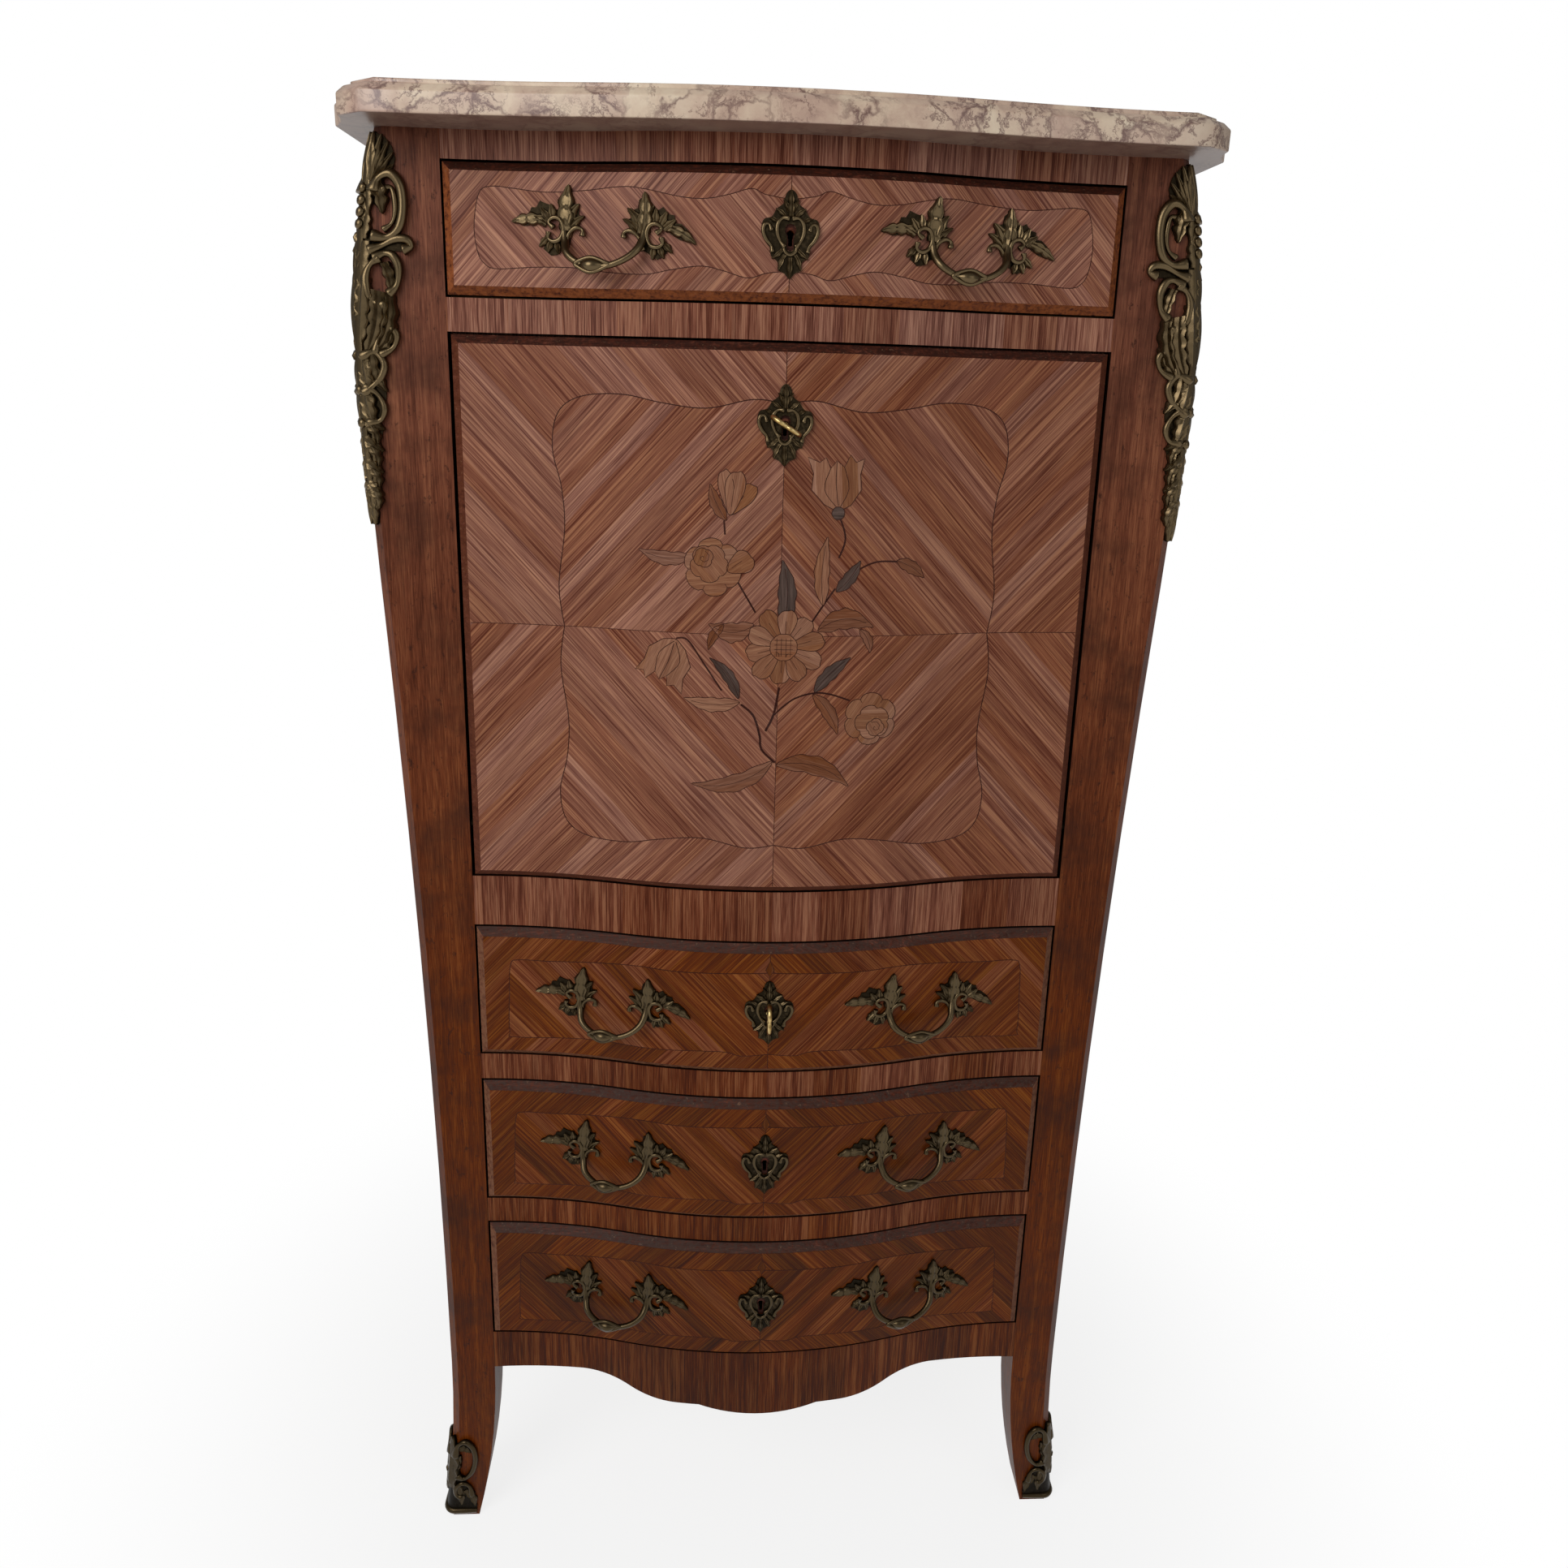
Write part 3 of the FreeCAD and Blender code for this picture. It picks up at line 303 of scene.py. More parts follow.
TULIPWOOD, GLUE_AND_SHADE, SYCAMORE, PEAR, PLUM = range(5)  # places in the list of woods
SLOPE = radians(47)  # of the stripes


def front_y(x):
    """Depth of the fronts' face at x: a swell between two hollows, all of one radius."""
    radius = (HALF_OPENING ** 2 + BULGE ** 2) / (4 * BULGE)
    near = min(abs(x), HALF_OPENING - abs(x))
    sag = radius - sqrt(radius ** 2 - near ** 2)
    return FACE - (BULGE - sag if abs(x) < HALF_OPENING / 2 else sag)


def smooth(points, steps=6, closed=False):
    """A curve that passes through each of the points."""
    count = len(points)
    curve = []
    for k in range(count if closed else count - 1):
        near = [points[(k + j) % count if closed else min(max(k + j, 0), count - 1)] for j in (-1, 0, 1, 2)]
        for step in range(steps):
            t = step / steps
            share = (-t + 2 * t ** 2 - t ** 3, 2 - 5 * t ** 2 + 3 * t ** 3,
                     t + 4 * t ** 2 - 3 * t ** 3, t ** 3 - t ** 2)
            curve.append(tuple(sum(s * p for s, p in zip(share, axis)) / 2 for axis in zip(*near)))
    return curve if closed else curve + [tuple(points[-1])]


def skin(rows, ring=False):
    """Faces over a run of like loops: the run closes on itself as a ring, or is capped at both ends."""
    size = len(rows[0])
    faces = []
    for row in range(len(rows) - (not ring)):
        here, there = row * size, (row + 1) % len(rows) * size
        faces += [(here + k, here + (k + 1) % size, there + (k + 1) % size, there + k) for k in range(size)]
    if not ring:
        faces += [tuple(range(size)), tuple(range((len(rows) - 1) * size, len(rows) * size))]
    return [point for row in rows for point in row], faces


def fine_run(points, closed, step=None):
    """The same line with points at least every step, so that it can follow a curved surface."""
    step = step or GRID
    run = []
    for start, end in zip(points, points[1:] + points[:1] if closed else points[1:]):
        count = max(1, ceil(hypot(end[0] - start[0], end[1] - start[1]) / step))
        run += [tuple(s + (e - s) * k / count for s, e in zip(start, end)) for k in range(count)]
    return run if closed else run + [points[-1]]


def heading(points, k, closed):
    """The way that a line runs at its point k."""
    last = len(points) - 1
    before = points[k - 1 if k or closed else k]
    after = points[(k + 1) % len(points) if k < last or closed else k]
    return Vector([a - b for a, b in zip(after, before)]).normalized()


def sawn(outline, step, rise):
    """Fill an outline with small faces.

    The faces of a back and of the edges between follow, for twice the points.
    """
    rim = fine_run(outline, True, step)
    (left, low), (right, high) = [[pick(axis) for axis in zip(*rim)] for pick in (min, max)]
    field = [(left + step * (column + 0.5), low + rise * (row + 0.5))
             for column in range(int((right - left) / step)) for row in range(int((high - low) / rise))]
    flat, _, faces, *_ = delaunay_2d_cdt([Vector(p) for p in rim + field], [], [list(range(len(rim)))],
                                         1, 1e-3)
    used = sorted({k for face in faces for k in face})
    place = {k: number for number, k in enumerate(used)}
    top = [tuple(place[k] for k in face) for face in faces]
    sides = {(a, b) for face in top for a, b in zip(face, face[1:] + face[:1])}
    edges = sorted(sides - {(b, a) for a, b in sides})
    under = len(used)
    return [tuple(flat[k]) for k in used], (top + [tuple(under + k for k in reversed(face)) for face in top]
                                            + [(b, a, under + a, under + b) for a, b in edges])


class Piece:
    """Closed forms gathered into one mesh. Its faces carry a wood, a grain and a tone, its points a rub."""

    def __init__(self):
        self.points, self.faces, self.rub = [], [], []
        self.wood, self.grain, self.tone = [], [], []

    def take(self, points, faces, wood=0, grain=0.0, tone=0.0, rub=None):
        base = len(self.points)
        self.points += points
        self.faces += [tuple(base + k for k in face) for face in faces]
        self.wood += [wood] * len(faces)
        self.grain += [grain] * len(faces)
        self.tone += [tone] * len(faces)
        self.rub += rub or [0.0] * len(points)

    def finish(self, name, body, slot, materials, replaced=(), crease=40):
        mesh = bpy.data.meshes.new(name)
        mesh.from_pydata([Vector(point) * MM for point in self.points], [], self.faces)
        for material in materials:
            mesh.materials.append(material)
        for label, domain, values in (("grain", "FACE", self.grain), ("tone", "FACE", self.tone),
                                      ("rub", "POINT", self.rub)):
            mesh.attributes.new(label, "FLOAT", domain).data.foreach_set("value", values)
        mesh.polygons.foreach_set("material_index", self.wood)
        shell = bmesh.new()
        shell.from_mesh(mesh)
        bmesh.ops.recalc_face_normals(shell, faces=shell.faces)
        shell.to_mesh(mesh)
        shell.free()
        mesh.polygons.foreach_set("use_smooth", [True] * len(mesh.polygons))
        mesh.set_sharp_from_angle(angle=radians(crease))
        piece = bpy.data.objects.new(name, mesh)
        bpy.context.collection.objects.link(piece)
        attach(piece, body)
        if replaced:
            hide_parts(*replaced)
        return piece


class Veneer(Piece):
    """The sheets on one serpentine front, drawn in x across and z up from the middle of that front."""

    def __init__(self, middle):
        super().__init__()
        self.middle = middle

    def on_front(self, x, z, lift):
        return x, front_y(x) - RAISE - lift, self.middle + z

    def lay(self, outline, lift, grain, tone=0.0, wood=TULIPWOOD):
        """Lay one sheet: its face follows the front, its back is let into the blank."""
        flat, faces = sawn(outline, GRID, 3 * GRID)
        self.take([self.on_front(x, z, lift - deep) for deep in (0, SHEET) for x, z in flat], faces,
                  wood, grain, tone)

    def draw(self, points, lift, width=SAW_LINE, closed=False, wood=GLUE_AND_SHADE):
        """Let in a line: a saw cut filled with dark glue, a string of wood or a stem."""
        points = fine_run(points, closed)
        rows = []
        for k, (x, z) in enumerate(points):
            run = heading(points, k, closed) * width / 2
            rows.append([self.on_front(x + side * run.y, z - side * run.x, lift - deep)
                         for side, deep in ((-1, 0), (1, 0), (1, SHEET), (-1, SHEET))])
        self.take(*skin(rows, closed), wood)

    def inlay(self, outline, lift, grain, tone=0.0, wood=TULIPWOOD):
        """A sheet with its dark saw line."""
        self.lay(outline, lift, grain, tone, wood)
        self.draw(outline, lift + CUT, closed=True)


def quartered(material):
    """Grain at the angle each sheet was cut to, in flitches of differing tone side by side."""
    place = add(material, "TexCoord").outputs["Object"]
    flat = add(material, "VectorMath", [place, (1, 0, 1)], operation="MULTIPLY")
    grain = add(material, "Attribute", attribute_name="grain").outputs["Fac"]
    turned = add(material, "VectorRotate", {"Vector": flat, "Angle": grain}, rotation_type="Y_AXIS")
    _, _, across = add(material, "SeparateXYZ", [turned]).outputs
    sway = add(material, "TexNoise", {"Vector": flat, "Scale": 1 / (90 * MM), "Detail": 0})
    drift = add(material, "Math", [sway, 5 * MM, across], operation="MULTIPLY_ADD")
    keyed = add(material, "Math", [grain, 7 * FLITCH * MM, drift], operation="MULTIPLY_ADD")
    flitch = add(material, "TexVoronoi", {"W": keyed, "Scale": 1 / (FLITCH * MM)},
                 voronoi_dimensions="1D").outputs["Color"]
    draw = add(material, "SeparateColor", [flitch])
    spread = add(material, "MapRange", [draw, 0, 1, -0.17, 0.17])
    tone = add(material, "Attribute", attribute_name="tone").outputs["Fac"]
    return (add(material, "VectorMath", [flitch, turned], operation="ADD"),
            add(material, "Math", [tone, spread], operation="ADD"))


# Tulipwood: rosy brown with dark and light stripes along the grain, under an old polish, with a painted sheen
# on its lighter pieces
tulipwood = timber("tulipwood_veneer", ("#552d1c", "#7b4f39", "#986b4c"), quartered, band=2.2, fibre=0.9,
                   roughness=0.4, figure=0.25, length=2.8, spread=0.1)
# Saw line: animal glue gone nearly black in the cut; the same dark wood walls the keyholes as painted shade
glue_and_shade = timber("glue_and_keyhole_shade", ("#25120c", "#351c14", "#44281d"), quartered, band=4, fibre=0.8,
                  roughness=0.55)
# Petals: aged sycamore, paler and yellower than the ground, with faint straight grain
sycamore = timber("aged_sycamore", ("#6b4630", "#835b41", "#946d4f"), quartered, band=2.5, fibre=0.7,
                  roughness=0.42)
# Leaves: pear stained green, now a dull grey green
stained_pear = timber("green_stained_pear", ("#302621", "#4a3b33", "#5b4a42"), quartered, band=2.5, fibre=0.7,
                      roughness=0.45)
# Leaves: plum, a warm brown a little greyer than the ground
plum = timber("plum_leaf", ("#5d3a25", "#754d35", "#855e46"), quartered, band=2.5, fibre=0.7, roughness=0.42)
WOODS = [tulipwood, glue_and_shade, sycamore, stained_pear, plum]


def mirrored(curve):
    return [(-x, z) for x, z in reversed(curve)]


# half of a keyhole, cut into the centre joint from its foot to its head
KEYHOLE = [(0, -12), (2.8, -11), (2.9, -1), (4.4, 2), (4.2, 5), (2.5, 7.5), (0, 8)]


def paint_keyhole_shade(veneer, rise):
    """Dark walls round a keyhole, under its plate: painted shade inside the hole."""
    rim = KEYHOLE + mirrored(KEYHOLE[1:-1])
    section = ((1.1, 0.2), (0.72, 0.2), (0.72, 2), (1.1, 2))  # shares of the keyhole's size, and depths
    rows = [[veneer.on_front(share * x, rise + share * z, -lower) for share, lower in section]
            for x, z in rim]
    veneer.take(*skin(rows, True), GLUE_AND_SHADE)


def joint(veneer, start, end):
    """The glued joint between two sheets."""
    veneer.draw([start, end], JOINT_LIFT, JOINT_LINE)


def centre_joint(veneer, low, high, rise):
    """The upright joint in the middle, from edge to edge, parted by the keyhole."""
    paint_keyhole_shade(veneer, rise)
    joint(veneer, (0, low + JOINT_LINE), (0, rise + KEYHOLE[0][1]))
    joint(veneer, (0, rise + KEYHOLE[-1][1]), (0, high - JOINT_LINE))


def quarters(veneer, half_width, low, high, half_curve, tone):
    """A border and a shaped middle on each side of the centre joint, striped in opposite slopes."""
    curve = smooth(half_curve)
    edge = [(half_width, low), (half_width, high), (0, high)] + KEYHOLE[::-1] + [(0, low)]
    for side in (1, -1):
        for outline, lift, slope in ((edge, 0, -SLOPE), (curve[::-1] + KEYHOLE[::-1], MIDDLE_LIFT, SLOPE)):
            veneer.lay([(side * x, z) for x, z in outline][::side], lift, slope * side, tone + 0.2 * lift)
    veneer.draw(curve + mirrored(curve)[1:-1], BORDER_LIFT, BORDER_LINE, closed=True)
    centre_joint(veneer, low, high, 0)


# the long cartouche of the upper drawer, and the plainer band of the lower ones, from centre top to foot
WAVED = [(0, 26), (20, 29), (31, 33), (48, 28.5), (67, 25), (87, 26), (113, 31), (132, 33), (163, 30),
         (195, 28.5), (222, 31), (238, 32), (248, 27), (253, 3), (251, -17), (246, -26), (236, -30),
         (204, -28), (172, -28), (145, -31), (115, -32), (93, -28), (70, -25), (53, -28), (33, -33),
         (18, -29), (0, -27)]
BANDED = [(0, 41), (24, 40), (86, 39), (130, 41), (205, 37), (238, 37), (246, 31), (248, 0), (249, -39),
          (242, -46), (166, -43), (112, -45), (46, -43), (26, -47), (0, -45)]
DIAMOND = [(0, 53), (-4, 44), (0, 37), (4, 44)]
key_rise = {}
# the drawers darken from the top one down: partly darker wood, partly painted shade where the light falls off
# towards the floor
for drawer, curve, tone in (("upper", WAVED, 0.18), ("first", BANDED, -0.36), ("second", BANDED, -0.48),
                            ("third", BANDED, -0.52)):
    low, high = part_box(drawer + "_drawer_front")
    veneer = Veneer((low.z + high.z) / 2 / MM)
    key_rise[drawer + "_drawer"] = veneer.middle
    reach = (high.z - low.z) / 2 / MM - BEVEL
    quarters(veneer, high.x / MM - BEVEL, -reach, reach, curve, tone)
    if curve is BANDED:
        veneer.inlay(DIAMOND, DIAMOND_LIFT, pi / 2, tone, PLUM)
    veneer.finish(drawer + "_drawer_veneer", drawer + "_drawer", "tulipwood_veneer", WOODS)

# Flap: its veneer is laid in eight sheets round the middle, so that the stripes make one diamond in another.
# A spray of tulips, roses and a daisy springs from two leaves at the foot; each petal is a sheet of its own.
STEM, LEAF, PETAL, INNER, HEART = 0.2, 0.28, 0.36, 0.44, 0.52  # each sheet lies over the ones before it
ENGRAVED = 0.05  # how far a line shows over its sheet
VEIN, FINE_VEIN, CARTOUCHE_LINE = 0.45, 0.4, 0.8  # widths
KEYHOLE_RISE = 177  # over the flap's middle
low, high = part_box("flap_panel")
flap = Veneer((low.z + high.z) / 2 / MM)
key_rise["flap"] = flap.middle + KEYHOLE_RISE
half_width, half_height = high.x / MM - BEVEL, (high.z - low.z) / 2 / MM - BEVEL
CARTOUCHE = [(187, 0), (191, 36), (185, 85), (187, 120), (194, 152), (189, 181), (170, 195), (135, 198),
             (100, 192), (64, 189), (26, 197), (0, 194)]
quarter = smooth(CARTOUCHE)
corner = [(half_width, 0), (half_width, half_height), (0, half_height)]
for side in (1, -1):
    for up in (1, -1):
        slope = SLOPE * side * up
        # the right quarters are darker as painted shade of the light from the left, the lower ones as painted
        # shade towards the floor
        tone = 0.08 - (0.02 if up < 0 else 0) - 0.045 * side
        hole = [(x, z + KEYHOLE_RISE) for x, z in reversed(KEYHOLE)] if up > 0 else []
        for outline, lift, way in ((corner, 0, slope), (quarter, MIDDLE_LIFT, -slope)):
            flap.lay([(side * x, up * z) for x, z in [(0, 0)] + outline + hole][::side * up], lift, way, tone)
        flap.draw([(side * x, up * z) for x, z in quarter], BORDER_LIFT, CARTOUCHE_LINE)
centre_joint(flap, -half_height, half_height, KEYHOLE_RISE)
joint(flap, (JOINT_LINE - half_width, 0), (half_width - JOINT_LINE, 0))


def along(base, tip, drawing):
    """Place a drawing whose first number runs from base to tip and whose second runs across, to the left."""
    run = Vector((tip[0] - base[0], tip[1] - base[1]))
    placed = [(base[0] + run.x * a - run.y * b, base[1] + run.y * a + run.x * b) for a, b in drawing]
    return placed, atan2(run.y, run.x)


def around(middle, reach, way):
    return middle[0] + reach * cos(way), middle[1] + reach * sin(way)


def leaf(base, tip, width, bend, wood, tone=0.0, lift=LEAF):
    """A lance-shaped leaf with a waved edge, a curling tip and a midrib."""
    slim = width / hypot(tip[0] - base[0], tip[1] - base[1]) / 2
    stations = [0, 0.12, 0.26, 0.38, 0.5, 0.62, 0.74, 0.87, 1]
    spine = [bend * 4 * t * (1 - t) for t in stations]
    swell = [0, 0.55, 0.9, 0.82, 1.0, 0.8, 0.72, 0.34, 0]
    left = [(t, s + slim * w) for t, s, w in zip(stations, spine, swell)]
    right = [(t, s - slim * w * 0.95) for t, s, w in zip(stations, spine, swell)][::-1][1:-1]
    outline, turn = along(base, tip, smooth(left + right, 3, True))
    flap.inlay(outline, lift, turn, tone, wood)
    rib, _ = along(base, tip, smooth(list(zip(stations, spine))[:-1], 2))
    flap.draw(rib, lift + ENGRAVED, FINE_VEIN)


def petal(base, tip, width, lift=PETAL, tone=0.0):
    """A petal: slim at the base, broad beyond the middle, with a slight notch at the tip."""
    slim = width / hypot(tip[0] - base[0], tip[1] - base[1]) / 2
    drawing = [(0, 0.25), (0.35, 0.75), (0.68, 1), (0.92, 0.62), (0.97, 0), (1, -0.35), (0.86, -0.85),
               (0.6, -1), (0.3, -0.7), (0, -0.25)]
    outline, turn = along(base, tip, smooth([(t, slim * w) for t, w in drawing], 3, True))
    flap.inlay(outline, lift, turn, tone, SYCAMORE)
    vein, _ = along(base, tip, [(0.15, 0), (0.6, 0.1 * slim)])
    flap.draw(vein, lift + ENGRAVED, 0.35)


def tulip(base, tip, tone=0.06):
    """A tulip from the side: two flared petals behind a middle one."""
    bloom = [(0, 0.04), (0.12, 0.26), (0.4, 0.5), (0.7, 0.46), (1.0, 0.56), (0.9, 0.34), (0.98, 0.22),
             (0.78, 0.14), (0.92, 0.02), (0.8, -0.12), (1.02, -0.24), (0.88, -0.34), (0.94, -0.5),
             (0.66, -0.42), (0.38, -0.44), (0.1, -0.24), (0, -0.04)]
    outline, turn = along(base, tip, bloom)
    flap.inlay(outline, PETAL, turn, tone, SYCAMORE)
    for edge in ([(0.05, 0.02), (0.4, 0.26), (0.78, 0.14)], [(0.05, -0.02), (0.4, -0.2), (0.8, -0.12)],
                 [(0.1, 0), (0.5, 0.04), (0.9, 0.02)]):
        seam, _ = along(base, tip, smooth(edge, 4))
        flap.draw(seam, PETAL + ENGRAVED)


def lobed(middle, radius, lobes, depth, turn):
    """The outline of an open flower: a circle drawn in between its lobes."""
    count = lobes * 7
    reach = [radius * (1 - depth + depth * abs(sin(lobes * pi * k / count)) ** 0.5) for k in range(count)]
    return [around(middle, r, turn + 2 * pi * k / count) for k, r in enumerate(reach)]


def rose(middle, radius, heart, turn):
    """A rose: broad outer petals, a folded ring inside and a tight heart towards one side."""
    inner = [m + (h - m) * 0.4 for m, h in zip(middle, heart)]
    for lift, place, size, lobes, tone in ((PETAL, middle, 1, 6, 0.0), (INNER, inner, 0.66, 5, 0.04),
                                           (HEART, heart, 0.34, 4, -0.02)):
        flap.inlay(lobed(place, radius * size, lobes, 0.16, turn + lobes), lift, turn + lobes, tone, SYCAMORE)
    curl = [around(heart, radius * 0.03 * k, turn + 0.9 * k) for k in range(9)]
    flap.draw(curl, HEART + ENGRAVED, VEIN)
    for k in range(6):
        fold = [around(middle, radius * r, turn + 6 + pi / 3 * k) for r in (0.7, 0.84)]
        flap.draw(fold, PETAL + ENGRAVED, VEIN)


def stem(points, width=1.5):
    flap.draw(smooth(points), STEM, width)


# stems, from the two leaves at the foot upwards
stem([(-1, -115), (-13, -103), (-15, -90), (-21, -72), (-32, -62)], 2)
stem([(-10, -86), (-3, -70), (1, -46)], 2)
stem([(-4, -72), (13, -57), (31, -51), (46, -52), (64, -58)])
stem([(-49, -50), (-65, -26), (-79, -6), (-89, -5)])
stem([(-21, 20), (-39, 50)])
stem([(-48, 86), (-49, 98)])
stem([(20, 0), (37, 27), (47, 42)])
stem([(60, 52), (68, 59), (83, 65), (103, 65)])
stem([(49, 68), (54, 85), (48, 104)])
# leaves: two long ones at the foot, and pairs where the stems part
leaf((-3, -114), (-75, -137), 17, 0.13, PLUM, 0.04)
leaf((0, -117), (66, -138), 19, 0.14, PLUM, -0.06)
leaf((-33, -60), (-82, -58), 14, 0.08, SYCAMORE, 0.02)
leaf((-34, -57), (-60, -21), 11, -0.1, PEAR)
leaf((32, -50), (63, -19), 13, 0.05, PEAR, 0.08)
leaf((31, -52), (54, -89), 13, 0.08, PLUM)
leaf((-22, 9), (-61, 9), 19, 0.18, PLUM, 0.05)
leaf((-48, 9), (-61, -14), 9, -0.1, PLUM)
leaf((33, 5), (82, 8), 20, 0.18, PLUM, 0.04)
leaf((70, 6), (80, -15), 9, 0.12, PLUM)
leaf((3, 8), (1, 66), 17, -0.07, PEAR)
leaf((37, 27), (39, 86), 14, 0.05, SYCAMORE)
leaf((48, 39), (68, 66), 12, -0.06, PEAR)
leaf((-76, 67), (-121, 71), 13, 0.1, PLUM, 0.06)
leaf((100, 66), (125, 51), 12, 0.06, PLUM, 0.06)
leaf((-47, 98), (-61, 128), 11, 0.06, PLUM)
# flowers: a daisy in the middle, two tulips, two roses and a half-open bud
DAISY, EYE = (4, -10), 12
for k in range(10):
    way = radians(12 + 36 * k)
    petal(around(DAISY, 8, way), around(DAISY, 33 if k % 3 else 36, way), 17, PETAL if k % 2 else INNER,
          0.02 * (k % 3))
flap.inlay(lobed(DAISY, EYE, 8, 0.04, 0), HEART, 0, 0.05, SYCAMORE)
for offset in (-6, -2, 2, 6):
    for hatch in ([(offset, -8), (offset, 8)], [(-8, offset), (8, offset)]):
        flap.draw([(DAISY[0] + x, DAISY[1] + z) for x, z in hatch], HEART + ENGRAVED, FINE_VEIN)
tulip((47, 108), (45, 153))
flap.inlay(lobed((47, 106), 5.5, 5, 0.05, 0), HEART, 0, -0.05, PEAR)
tulip((-89, -6), (-106, -45), 0.05)
rose((-58, 58), 25, (-66, 66), 0.4)
petal((-45, 56), (-25, 68), 20, INNER, 0.03)
rose((83, -75), 24, (88, -83), 1.3)
for tip, width in (((-38, 139), 17), ((-24, 128), 15), ((-50, 140), 13)):
    petal((-44, 104), tip, width, INNER if width == 17 else PETAL, -0.03)
flap.finish("flap_marquetry", "flap", "tulipwood_veneer", WOODS)

# Marble top: one slab of pale breccia, sawn to a serpentine front with canted corners, moulded and polished.
# A thinner, narrower step is worked on top; the slab lies loose on the top board by its own weight.
ARRIS = 2.2  # how far the edges are rounded
marble_block = nodes["marble_top"].data.copy()
marble_block.name = "marble_slab"
block = bmesh.new()
block.from_mesh(marble_block)
bmesh.ops.remove_doubles(block, verts=block.verts, dist=0.01 * MM)
bmesh.ops.dissolve_limit(block, angle_limit=radians(1), verts=block.verts, edges=block.edges)
arrises = [edge for edge in block.edges if len(edge.link_faces) == 2 and edge.calc_face_angle() > radians(25)
           and abs(edge.verts[0].co.z - edge.verts[1].co.z) < 0.1 * MM]
bmesh.ops.bevel(block, geom=arrises, offset=ARRIS * MM, segments=3, profile=0.6, affect="EDGES",
                clamp_overlap=True)
block.to_mesh(marble_block)
block.free()
marble_block.polygons.foreach_set("use_smooth", [True] * len(marble_block.polygons))
marble_block.set_sharp_from_angle(angle=radians(35))

# Breccia marble: cream, buff and rosy stones of a few centimetres, parted here and there by mauve brown veins
STONE, WISP, CLOUD = 48, 26, 45  # how large each is, more or less
breccia, shader, place = new_material("breccia_marble")
bend = add(breccia, "TexNoise", {"Vector": place, "Scale": 1 / (38 * MM), "Detail": 6, "Roughness": 0.6})
pushed = add(breccia, "VectorMath", [bend.outputs["Color"], (45 * MM,) * 3, place], operation="MULTIPLY_ADD")
cloud = add(breccia, "TexNoise", {"Vector": pushed, "Scale": 1 / (CLOUD * MM), "Detail": 7,
                                  "Roughness": 0.62})
ground = add(breccia, "ValToRGB", [cloud], [(0.3, "#9b8072"), (0.44, "#bfa490"), (0.56, "#d0baa2"),
                                            (0.72, "#ddcdb4")])
pits = add(breccia, "Bump", {"Height": cloud, "Strength": 0.05, "Distance": 1 * MM})
gloss = add(breccia, "MapRange", [cloud, 0, 1, 0.25, 0.45])
wire(shader, {"Base Color": ground, "Roughness": gloss, "Normal": pits})
# some stones are rosy
stones = add(breccia, "TexVoronoi", {"Vector": pushed, "Scale": 1 / (STONE * MM)})
blush = add(breccia, "SeparateColor", [stones.outputs["Color"]])
overlay(breccia, "#b08f82", add(breccia, "MapRange", [blush, 0.5, 1, 0, 0.5]))
# veins: the seams between stones and thin wisps, both only where they gather
seams = add(breccia, "TexVoronoi", {"Vector": pushed, "Scale": 1 / (STONE * MM)}, feature="DISTANCE_TO_EDGE")
seam = add(breccia, "MapRange", [seams.outputs["Distance"], 0, 0.045, 1, 0])
wisps = add(breccia, "TexNoise", {"Vector": pushed, "Scale": 1 / (WISP * MM), "Detail": 8, "Roughness": 0.7})
ridge = add(breccia, "Math", [wisps, 0.5], operation="SUBTRACT")
fold = add(breccia, "Math", [ridge], operation="ABSOLUTE")
wisp = add(breccia, "MapRange", [fold, 0, 0.03, 1, 0])
gather = add(breccia, "TexNoise", {"Vector": place, "Scale": 1 / (40 * MM), "Detail": 3})
where = add(breccia, "MapRange", [gather, 0.36, 0.56])
veins = add(breccia, "Math", [seam, wisp], operation="MAXIMUM")
overlay(breccia, "#6d5049", add(breccia, "Math", [veins, where], operation="MULTIPLY"))
# the underside, which faces the floor, is painted browner and darker as shade
normal = add(breccia, "TexCoord").outputs["Normal"]
_, _, upward = add(breccia, "SeparateXYZ", [normal]).outputs
overlay(breccia, "#7d6157", add(breccia, "MapRange", [upward, -0.95, -0.5, 0.7, 0]))
marble_block.materials.clear()
marble_block.materials.append(breccia)
marble_slab = bpy.data.objects.new("marble_slab", marble_block)
bpy.context.collection.objects.link(marble_slab)
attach(marble_slab, "case")
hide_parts("marble_top")

# Drawer bronzes: cast pulls of leaves and C-scrolls with a bail between, and pierced keyhole plates.
# Each casting is chased by hand, pinned to its drawer front, and has gone dark except where it is rubbed.
PULL_REACH, SUNK, CREASE = 147, 0.8, 60  # from the middle, into the wood, and the angle that stays sharp

# Antique bronze: nearly black in the hollows, grey gold on the ridges that dusters reach, dark near the floor
bronze, shader, place = new_material("antique_bronze")
rub = add(bronze, "Attribute", attribute_name="rub").outputs["Fac"]
grain = add(bronze, "TexNoise", {"Vector": place, "Scale": 1 / (2.5 * MM), "Detail": 4})
patch = add(bronze, "TexNoise", {"Vector": place, "Scale": 1 / (14 * MM), "Detail": 2})
grime = add(bronze, "Math", [grain, 0.5, rub], operation="MULTIPLY_ADD")
aged = add(bronze, "Math", [patch, 0.4, grime], operation="MULTIPLY_ADD")
colour = add(bronze, "ValToRGB", [aged], [(0.4, "#15110c"), (0.75, "#2f271b"), (1.0, "#62533c")])
_, _, height = add(bronze, "SeparateXYZ", [place]).outputs
